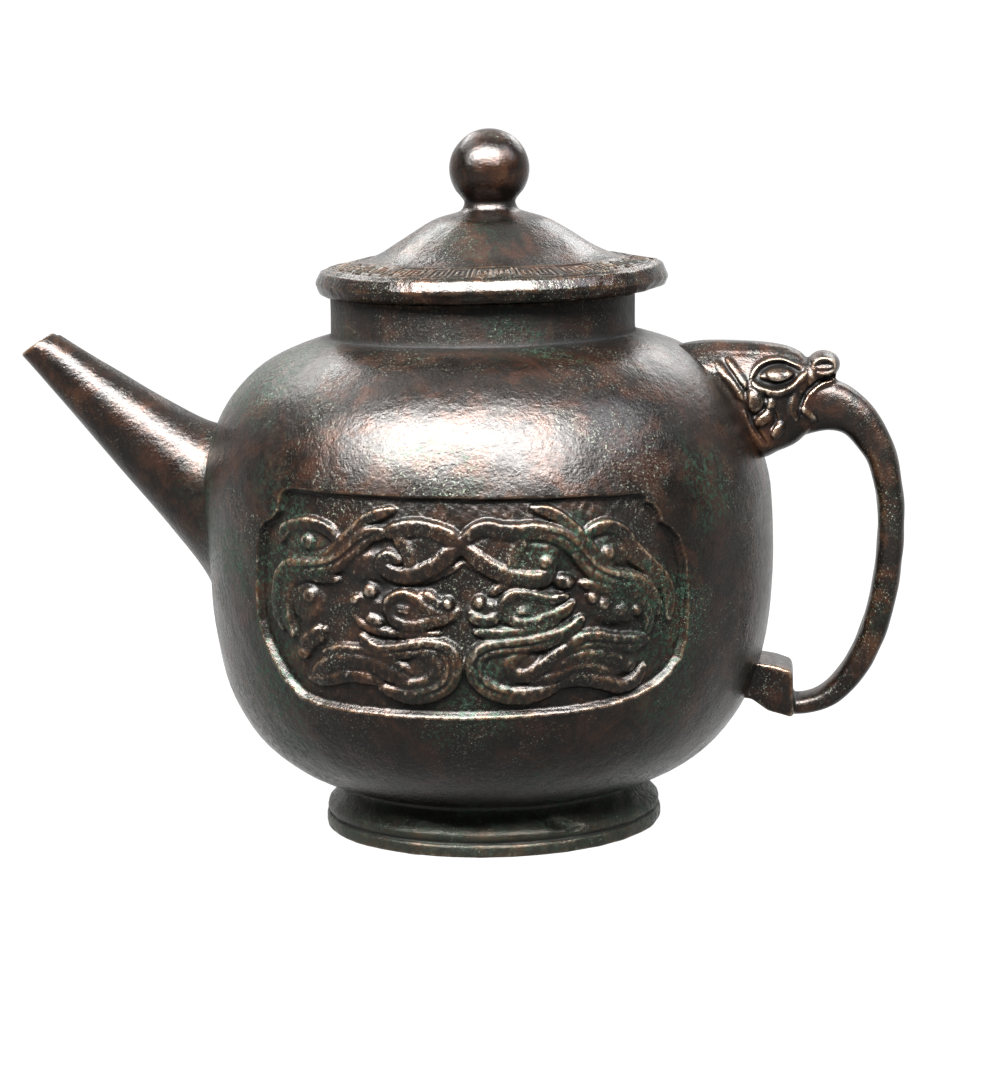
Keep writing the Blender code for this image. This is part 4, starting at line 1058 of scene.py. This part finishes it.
# Drawn on the side of the head in millimetres out and up: half width, height and places
HEAD_RIDGES = [
    # Lids of the eye
    (1.00, 0.85, [(61.0, 103.2), (62.2, 105.0), (64.6, 106.4), (67.6, 106.8), (70.2, 106.0),
                  (72.9, 104.6)]),
    (1.30, 1.15, [(61.4, 102.2), (62.6, 100.9), (64.8, 99.9), (67.3, 99.7), (69.6, 100.4), (71.6, 101.9),
                  (73.4, 104.2)]),
    # Ridge from the brow down the muzzle
    (1.30, 0.80, [(68.0, 107.8), (71.4, 107.0), (73.6, 105.4), (74.6, 103.4), (74.2, 101.2)]),
    # Cheek and the fold round the corner of the mouth
    (1.30, 0.70, [(72.6, 101.0), (71.2, 98.8), (70.6, 96.2), (70.9, 93.4)]),
    # Two folds where the head meets the shoulder
    (1.10, 0.75, [(53.2, 106.4), (55.6, 103.4), (57.6, 100.6), (59.0, 98.4)]),
    (1.00, 0.60, [(55.6, 107.2), (58.2, 103.8), (60.4, 100.6)]),
    # Tusk below the mouth
    (1.05, 1.00, [(71.6, 96.0), (73.2, 95.1), (75.4, 92.9)]),
    # Upper edge of the bar where it leaves the mouth like a tongue
    (1.00, 0.55, [(73.2, 98.9), (75.6, 100.4), (78.4, 101.3), (81.4, 101.4)]),
    # Rim of the nostril
    (0.80, 0.60, [(74.6, 104.4), (74.9, 106.2), (76.4, 107.3), (78.4, 107.2), (80.0, 105.9),
                  (79.9, 104.1), (78.2, 103.2), (76.0, 103.3), (74.8, 104.2)]),
    # Crown's edge
    (0.70, 0.12, [(53.0, 109.2), (58.0, 109.1), (64.0, 108.8), (69.4, 107.9), (72.4, 106.8)]),
]
# Eyeball, jaw muscle and scales of the cheek: radii, height, place and tilt
HEAD_BOSSES = [
    ((3.1, 1.75), 1.35, (67.3, 103.7), -0.06),
    ((2.2, 3.0), 1.45, (61.6, 98.0), 0.25),
    ((1.6, 1.5), 1.00, (65.2, 97.4), 0.8),
    ((2.6, 1.6), 1.20, (63.8, 94.2), 0.75),
    ((2.3, 1.3), 1.00, (66.9, 91.2), 0.95),
]
# Round the eye, the mouth, behind the jaw, between the scales, beside the folds and in the nostril
HEAD_GROOVES = [
    (0.95, 1.25, [(62.0, 103.4), (63.4, 105.0), (65.6, 105.9), (68.2, 105.8), (70.6, 104.8),
                  (72.2, 104.4)]),
    (0.95, 1.25, [(62.0, 102.9), (64.2, 101.9), (66.8, 101.4), (69.3, 102.0), (71.4, 103.7)]),
    (0.80, 1.30, [(81.6, 103.2), (79.0, 102.4), (76.8, 101.9), (75.0, 100.9), (73.4, 99.4), (72.5, 98.2),
                  (71.9, 96.8), (71.7, 94.6)]),
    (0.60, 0.80, [(60.4, 102.2), (59.9, 99.6), (60.0, 96.4), (61.4, 92.4), (64.0, 88.4)]),
    (0.60, 0.70, [(63.8, 100.0), (64.4, 97.6), (63.2, 95.9), (61.8, 94.6)]),
    (0.55, 0.60, [(65.8, 95.8), (66.4, 93.6), (65.2, 91.6)]),
    (0.60, 0.60, [(54.6, 107.0), (57.0, 103.6), (59.6, 100.0)]),
    (0.45, 0.80, [(75.9, 105.4), (77.4, 105.7), (79.0, 105.5)]),
]


# The carving ends at these distances out, and at this height
HEAD_FROM, HEAD_TO, HEAD_LOW = 50, 82.5, 84


def carve_head(co, normal):
    """Draws the dragon's face on both sides of the head by moving points in and out across the head."""
    x, z = co[:, 0], co[:, 2]
    field = np.zeros(len(co))
    for half, height, points in HEAD_RIDGES:
        raise_band(field, x, z, half, height, points, **CARVED_BAND)
    for radii, height, place, tilt in HEAD_BOSSES:
        raise_boss(field, x, z, radii, height, place, tilt)
    for half, depth, points in HEAD_GROOVES:
        cut_line(field, x, z, half, depth, points)
    facing = smooth_step(0.2, 0.6, np.abs(normal[:, 1]))
    near = (x > HEAD_FROM) & (x < HEAD_TO) & (z > HEAD_LOW)
    co[:, 1] += np.sign(co[:, 1]) * field * facing * near
    return np.clip(field, 0, 1) * near


def drop_crumbs(mesh):
    """Removes all but the largest connected part, because fusing can leave specks inside."""
    a, b = read_edges(mesh)
    group = np.arange(len(mesh.vertices))
    while True:
        low = np.minimum(group[a], group[b])
        after = group.copy()
        np.minimum.at(after, a, low)
        np.minimum.at(after, b, low)
        after = after[after]
        if (after == group).all():
            break
        group = after
    kept = np.bincount(group).argmax()
    work = bmesh.new()
    work.from_mesh(mesh)
    work.verts.ensure_lookup_table()
    bmesh.ops.delete(work, geom=[work.verts[i] for i in np.flatnonzero(group != kept)], context="VERTS")
    work.to_mesh(mesh)
    work.free()


def build_handle():
    """The handle, fused from its castings at a fine voxel size, then smoothed and carved."""
    skins = [bar_skin(), head_skin(SKULL, *SKULL_SHAPE), head_skin(SNOUT, *SNOUT_SHAPE)]
    skins += [lug_skin(), nose_skin()]
    verts, faces, start = [], [], 0
    for points, rings in skins:
        verts.append(points)
        faces += [tuple(v + start for v in ring) for ring in rings]
        start += len(points)
    mesh = bpy.data.meshes.new("ewer_handle")
    mesh.from_pydata(((np.vstack(verts) + (AXIS_X, 0, 0)) * MM).tolist(), [], faces)
    mesh.update()
    piece = bpy.data.objects.new("ewer_handle", mesh)
    bpy.context.scene.collection.objects.link(piece)
    fuse = piece.modifiers.new("fuse", "REMESH")
    fuse.mode = "VOXEL"
    fuse.voxel_size = sizes().handle_grain
    soften = piece.modifiers.new("soften", "SMOOTH")
    soften.factor = 0.5
    soften.iterations = 8
    fused = bpy.data.meshes.new_from_object(piece.evaluated_get(bpy.context.evaluated_depsgraph_get()))
    drop_crumbs(fused)
    piece.modifiers.clear()
    piece.data = fused
    bpy.data.meshes.remove(mesh)
    co, normal = read_points(fused)
    co -= (AXIS_X, 0, 0)
    carved = carve_head(co, normal)
    co += normal * uneven(*co.T, *HANDLE_LUMPS)[:, None]
    fused.vertices.foreach_set("co", ((co + (AXIS_X, 0, 0)) * MM).ravel())
    fused.update()
    fused.shade_smooth()
    store(fused, "relief", carved)
    return finish_piece(piece, patinated_cast_bronze("handle"), "handle")


# Materials

NOISE, MATH, RANGE, MIX = "ShaderNodeTexNoise", "ShaderNodeMath", "ShaderNodeMapRange", "ShaderNodeMix"
TIMES, PLUS, MINUS = {"operation": "MULTIPLY"}, {"operation": "ADD"}, {"operation": "SUBTRACT"}
LARGER, CAPPED = {"operation": "MAXIMUM"}, {"use_clamp": True}
SOFT, RGBA = {"interpolation_type": "SMOOTHSTEP"}, {"data_type": "RGBA"}
# How much of each casting's skin is red oxide and verdigris
RED_SHARE = {"vessel": 0.65, "spout": 0.60, "handle": 0.90, "lid": 0.80}
GREEN_SHARE = {"vessel": 0.85, "spout": 0.25, "handle": 0.25, "lid": 0.30}
# Noise: size in mm, detail, roughness and warp. Specks of 0.3 mm are drawn at 0.5 so that they show
CLOUDS = {
    "skin": (18, 4, 0.6, 0),
    "oxide": (7, 6, 0.68, 0.6),
    "wear": (1.6, 4, 0.7, 0),
    "crusts": (28, 2, 0.5, 0.3),
    "grains": (1.1, 3, 0.75, 0),
    "specks": (0.5, 3, 0.7, 0),
    "drifts": (20, 3, 0.6, 0.5),
    "hammer": (5.5, 3, 0.5, 0),
    "cast": (1.7, 4, 0.7, 0),
    "sand": (0.7, 3, 0.65, 0),
}
PIT_MM = 2.2
SCRATCH_MM = 3.0


def add_node(tree, kind, settings=None, output=0, **links):
    """Adds a node, sets its settings and inputs, links what is given as a socket, and returns an output."""
    node = tree.nodes.new(kind)
    for key, value in (settings or {}).items():
        setattr(node, key, value)
    for key, value in links.items():
        socket = node.inputs[int(key[2:]) if key.startswith("in") else key.replace("_", " ")]
        if isinstance(value, bpy.types.NodeSocket):
            tree.links.new(value, socket)
        else:
            socket.default_value = value
    return node.outputs[output] if node.outputs else node


def patinated_cast_bronze(part):
    """Cast bronze under an old dark patina: a near-black brown skin with red-brown copper oxide in clouds,
    green copper carbonate in crusts and specks, and a waxy handled sheen, rubbed pale on its ridges. The
    patina is thick enough to hide half of the metal's own reflection."""
    material = bpy.data.materials.new("patinated_cast_bronze_" + part)
    material.use_nodes = True
    material.node_tree.nodes.clear()
    add = partial(add_node, material.node_tree)
    palette = colours()
    place = add("ShaderNodeTexCoord", output="Object")
    cloud = {}
    for key, (size, detail, roughness, warp) in CLOUDS.items():
        grain = {"Scale": 1 / (size * MM), "Detail": detail, "Roughness": roughness, "Distortion": warp}
        cloud[key] = add(NOISE, Vector=place, **grain)
    mark = {}
    for key in ("ridge", "swell", "relief", "sunk", "matt", "foot"):
        mark[key] = add("ShaderNodeAttribute", {"attribute_name": key}, "Fac")
    # Copper oxide in red-brown clouds, and dull clouds over it
    red = add(RANGE, SOFT, Value=cloud["oxide"], From_Min=0.42, From_Max=0.68, To_Max=RED_SHARE[part])
    colour = add(MIX, RGBA, 2, in0=red, in6=palette.dark, in7=palette.red)
    dull = add(RANGE, SOFT, Value=cloud["skin"], From_Min=0.35, From_Max=0.75, To_Max=0.4)
    colour = add(MIX, RGBA, 2, in0=dull, in6=colour, in7=palette.dull)
    # Verdigris in crusts where a slow cloud lets it, in the hollows and on the foot
    crusts = add(RANGE, SOFT, Value=cloud["crusts"], From_Min=0.50, From_Max=0.66)
    grains = add(RANGE, SOFT, Value=cloud["grains"], From_Min=0.47, From_Max=0.60)
    hollows = add(RANGE, SOFT, Value=mark["swell"], From_Min=-0.02, From_Max=-0.35, To_Max=0.3)
    green = add(MATH, LARGER, in0=crusts, in1=hollows)
    green = add(MATH, TIMES, in0=green, in1=GREEN_SHARE[part])
    on_foot = add(MATH, TIMES, in0=mark["foot"], in1=0.5)
    green = add(MATH, PLUS, in0=green, in1=on_foot)
    green = add(MATH, {**TIMES, **CAPPED}, in0=green, in1=grains)
    colour = add(MIX, RGBA, 2, in0=green, in6=colour, in7=palette.green)
    dusty = add(MATH, TIMES, in0=mark["foot"], in1=0.10)
    colour = add(MIX, RGBA, 2, in0=dusty, in6=colour, in7=palette.pale)
    # High places are rubbed to warm metal where the oxide is thin, and pale in fine strokes
    high = add(MATH, TIMES, in0=mark["relief"], in1=0.10)
    high = add(MATH, PLUS, in0=mark["ridge"], in1=high)
    for key, middle, gain, start, end, share, tint in (
        ("oxide", 0.50, 1.6, 0.15, 1.0, 0.45, palette.gold),
        ("wear", 0.55, 2.4, 0.35, 1.1, 0.38, palette.grey),
    ):
        chance = add(MATH, MINUS, in0=cloud[key], in1=middle)
        chance = add(MATH, TIMES, in0=chance, in1=gain)
        rubbed = add(MATH, PLUS, in0=high, in1=chance)
        rubbed = add(RANGE, SOFT, Value=rubbed, From_Min=start, From_Max=end)
        amount = add(MATH, TIMES, in0=rubbed, in1=share)
        colour = add(MIX, RGBA, 2, in0=amount, in6=colour, in7=tint)
    # Pale specks in drifts, and black painted shade darkening the hollows
    specks = add(RANGE, SOFT, Value=cloud["specks"], From_Min=0.56, From_Max=0.70)
    drifts = add(RANGE, SOFT, Value=cloud["drifts"], From_Min=0.44, From_Max=0.60, To_Min=0.10)
    pale = add(MATH, TIMES, in0=specks, in1=drifts)
    amount = add(MATH, TIMES, in0=pale, in1=0.7)
    colour = add(MIX, RGBA, 2, in0=amount, in6=colour, in7=palette.pale)
    # Painted shade: the wide hollows are darkened towards black
    painted_shade = add(RANGE, SOFT, Value=mark["swell"], From_Min=-0.03, From_Max=-0.32, To_Max=0.9)
    colour = add(MIX, RGBA, 2, in0=painted_shade, in6=colour, in7=palette.painted_shade)
    # Sheen: handled satin, duller on verdigris, on the neck and in hollows, and brighter where rubbed
    rough = add(RANGE, SOFT, Value=cloud["skin"], From_Min=0.3, From_Max=0.7, To_Min=0.24, To_Max=0.34)
    fine = add(MATH, MINUS, in0=cloud["wear"], in1=0.5)
    fine = add(MATH, TIMES, in0=fine, in1=0.22)
    rough = add(MATH, PLUS, in0=rough, in1=fine)
    for where, share in (
        (mark["matt"], 0.22), (mark["foot"], 0.10), (green, 0.25), (pale, 0.2), (painted_shade, 0.25),
        (mark["sunk"], 0.05), (rubbed, -0.08),
    ):
        duller = add(MATH, TIMES, in0=where, in1=share)
        rough = add(MATH, {**PLUS, **CAPPED}, in0=rough, in1=duller)
    # Relief too small to model: hammer facets, casting pits, rubbing scratches and the grain of the sand
    pits = add("ShaderNodeTexVoronoi", output="Distance", Vector=place, Scale=1 / (PIT_MM * MM))
    pits = add(RANGE, SOFT, Value=pits, From_Max=0.2)
    drawn = add("ShaderNodeMapping", Vector=place, Scale=(1, 1, 6), Rotation=(0.2, 0.5, 0))
    scratches = add(NOISE, Vector=drawn, Scale=1 / (SCRATCH_MM * MM), Detail=3, Roughness=0.6)
    bump = {}
    for height, strength, depth in (
        (cloud["hammer"], 0.5, 0.45), (pits, 0.35, 0.10), (scratches, 0.22, 0.12),
        (cloud["cast"], 0.6, 0.26), (cloud["sand"], 0.55, 0.12),
    ):
        relief = {"Height": height, "Strength": strength, "Distance": depth * MM}
        bump = {"Normal": add("ShaderNodeBump", **relief, **bump)}
    skin = {"Base_Color": colour, "Metallic": 0.55, "Specular_IOR_Level": 0.4, "Roughness": rough}
    shader = add("ShaderNodeBsdfPrincipled", **skin, **bump)
    add("ShaderNodeOutputMaterial", {"is_active_output": True}, Surface=shader)
    return material


# Stage

CAMERA_AZIMUTH = math.radians(5.2)
CAMERA_ELEVATION = math.radians(9.035)
CAMERA_ROLL = math.radians(1.25)
CAMERA_DISTANCE = 729.0
CAMERA_HEIGHT = 182.0
CAMERA_FOCUS_PIXELS = 3200.0
CAMERA_AIM_PIXELS = 12.3
IMAGE_LONG_SIDE = 1073
SENSOR_MM = 36
# The sweep of floor and wall, in metres: half its width, where it bends up, the bend and its top
SWEEP_HALF_WIDTH = 12.0
SWEEP_BACK = 1.2
SWEEP_BEND = 0.6
SWEEP_TOP = 2.6
TABLE_SHEET = "#262626"
TABLE_GLOW = 1.04
ROOM_COLOUR = "#f4f6fa"
ROOM_GLOW = 0.20
# Under 1, it deepens the darks as they are in the photograph
VIEW_GAMMA = 0.87
# Soft windows: name, place, aim, width and height in metres, watts and colour
SOFTBOXES = [
    ("front_window", (-0.05, -0.42, 0.60), (0, 0, 0.09), (1.05, 0.38), 100.0, "#ffffff"),
    ("left_window", (-0.42, 0.16, 0.66), (0, 0, 0.10), (0.30, 0.26), 2.0, "#ffffff"),
    ("back_window", (-0.44, 0.58, 0.66), (0, 0, 0.12), (0.46, 0.13), 3.0, "#ffffff"),
    ("back_fill", (0.38, 0.72, 0.58), (0, 0, 0.09), (0.5, 0.3), 2.8, "#ffffff"),
    ("ceiling", (0.0, 0.25, 0.85), (0, 0, 0.09), (0.7, 0.4), 2.0, "#ffffff"),
    ("right_fill", (0.55, -0.12, 0.62), (0, 0, 0.09), (0.25, 0.3), 5.5, "#eceffa"),
]


def place_camera():
    """The camera stands where the photograph was taken from, found by matching outlines."""
    data = bpy.data.cameras.new("camera")
    data.lens = CAMERA_FOCUS_PIXELS / IMAGE_LONG_SIDE * SENSOR_MM
    data.sensor_width = SENSOR_MM
    data.clip_start = 0.05
    data.clip_end = 30
    camera = bpy.data.objects.new("camera", data)
    bpy.context.scene.collection.objects.link(camera)
    a, e = CAMERA_AZIMUTH, CAMERA_ELEVATION
    yaw = math.atan(CAMERA_AIM_PIXELS / CAMERA_FOCUS_PIXELS)
    level = Vector((-math.sin(a - yaw), math.cos(a - yaw), 0))
    ahead = level * math.cos(e) + Vector((0, 0, -math.sin(e)))
    right = ahead.cross(Vector((0, 0, 1))).normalized()
    up = right.cross(ahead)
    rolled = right * math.cos(CAMERA_ROLL) - up * math.sin(CAMERA_ROLL)
    up = up * math.cos(CAMERA_ROLL) + right * math.sin(CAMERA_ROLL)
    spot = Vector((CAMERA_DISTANCE * math.sin(a) + AXIS_X, -CAMERA_DISTANCE * math.cos(a), CAMERA_HEIGHT))
    turned = Matrix((rolled, up, -ahead)).transposed().to_4x4()
    camera.matrix_world = Matrix.Translation(spot * MM) @ turned
    bpy.context.scene.camera = camera


def add_softbox(name, place, aim, size, watts, colour):
    """A rectangular window of soft light, turned to what it lights."""
    light = bpy.data.lights.new(name, "AREA")
    light.shape = "RECTANGLE"
    light.size, light.size_y = size
    light.energy = watts
    light.color = linear(colour)[:3]
    lamp = bpy.data.objects.new(name, light)
    bpy.context.scene.collection.objects.link(lamp)
    lamp.location = place
    lamp.rotation_euler = (Vector(aim) - Vector(place)).to_track_quat("-Z", "Y").to_euler()


def opal_acrylic_light_table():
    """Opal acrylic sheet lit from below: it stays an even white and takes little light from above."""
    opal = bpy.data.materials.new("opal_acrylic_light_table")
    opal.use_nodes = True
    shader = opal.node_tree.nodes["Principled BSDF"]
    shader.inputs["Base Color"].default_value = linear(TABLE_SHEET)
    shader.inputs["Roughness"].default_value = 0.9
    shader.inputs["Specular IOR Level"].default_value = 0.0
    shader.inputs["Emission Color"].default_value = colours().floor
    shader.inputs["Emission Strength"].default_value = TABLE_GLOW
    return opal


def build_stage():
    """A pale sweep of floor and wall, soft lights and the camera."""
    run = [(-SWEEP_HALF_WIDTH, 0.0)]
    for a in np.linspace(0, math.pi / 2, 24):
        run.append((SWEEP_BACK + SWEEP_BEND * math.sin(a), SWEEP_BEND - SWEEP_BEND * math.cos(a)))
    run.append((SWEEP_BACK + SWEEP_BEND, SWEEP_TOP))
    verts = [(x, y, z) for x in (-SWEEP_HALF_WIDTH, SWEEP_HALF_WIDTH) for y, z in run]
    n = len(run)
    mesh = bpy.data.meshes.new("studio_sweep")
    mesh.from_pydata(verts, [], [(i, n + i, n + i + 1, i + 1) for i in range(n - 1)])
    mesh.shade_smooth()
    mesh.materials.append(opal_acrylic_light_table())
    sweep = bpy.data.objects.new("studio_sweep", mesh)
    bpy.context.scene.collection.objects.link(sweep)
    sweep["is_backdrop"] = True
    world = bpy.data.worlds.new("soft_room")
    world.use_nodes = True
    background = world.node_tree.nodes["Background"]
    background.inputs["Color"].default_value = linear(ROOM_COLOUR)
    background.inputs["Strength"].default_value = ROOM_GLOW
    bpy.context.scene.world = world
    bpy.context.scene.view_settings.view_transform = "Standard"
    bpy.context.scene.view_settings.gamma = VIEW_GAMMA
    for softbox in SOFTBOXES:
        add_softbox(*softbox)
    place_camera()


# Add-on


class EWER_OT_vessel(bpy.types.Operator):
    """Build the belly, neck and foot with the dragon panels"""

    bl_idname = "ewer.vessel"
    bl_label = "Build Vessel"

    def execute(self, context):
        build_vessel()
        return {"FINISHED"}


class EWER_OT_spout(bpy.types.Operator):
    """Build the spout"""

    bl_idname = "ewer.spout"
    bl_label = "Build Spout"

    def execute(self, context):
        build_spout()
        return {"FINISHED"}


class EWER_OT_handle(bpy.types.Operator):
    """Build the dragon-head handle"""

    bl_idname = "ewer.handle"
    bl_label = "Build Handle"

    def execute(self, context):
        build_handle()
        return {"FINISHED"}


class EWER_OT_lid(bpy.types.Operator):
    """Build the lid with its fret band and knob"""

    bl_idname = "ewer.lid"
    bl_label = "Build Lid"

    def execute(self, context):
        build_lid()
        return {"FINISHED"}


class EWER_OT_stage(bpy.types.Operator):
    """Set up the floor, lights and camera"""

    bl_idname = "ewer.stage"
    bl_label = "Set Up Stage"

    def execute(self, context):
        build_stage()
        return {"FINISHED"}


OPERATORS = (EWER_OT_vessel, EWER_OT_spout, EWER_OT_handle, EWER_OT_lid, EWER_OT_stage)


class EWER_PT_panel(bpy.types.Panel):
    """Sizes, colours and building steps of the ewer"""

    bl_idname = "EWER_PT_panel"
    bl_label = "Bronze Ewer"
    bl_space_type = "VIEW_3D"
    bl_region_type = "UI"
    bl_category = "Ewer"

    def draw(self, context):
        for group in (context.scene.ewer_sizes, context.scene.ewer_colours):
            box = self.layout.box()
            for key in group.__annotations__:
                box.prop(group, key)
        for operator in OPERATORS:
            self.layout.operator(operator.bl_idname)


CLASSES = (EwerSizes, EwerColours, *OPERATORS, EWER_PT_panel)


def register():
    """Makes the classes and the scene's properties known."""
    for each in CLASSES:
        bpy.utils.register_class(each)
    bpy.types.Scene.ewer_sizes = bpy.props.PointerProperty(type=EwerSizes)
    bpy.types.Scene.ewer_colours = bpy.props.PointerProperty(type=EwerColours)


def unregister():
    """Takes them away again."""
    del bpy.types.Scene.ewer_colours
    del bpy.types.Scene.ewer_sizes
    for each in reversed(CLASSES):
        bpy.utils.unregister_class(each)


def main():
    """Builds the ewer and its stage, and works out the corners of the two boxes."""
    register()
    bpy.ops.ewer.vessel()
    bpy.ops.ewer.spout()
    bpy.ops.ewer.handle()
    bpy.ops.ewer.lid()
    bpy.ops.ewer.stage()
    for key, box in (("cad_box", CAD_BOX), ("visual_box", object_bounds())):
        [list(map(float, corner)) for corner in box]


if __name__ == "__main__":
    main()
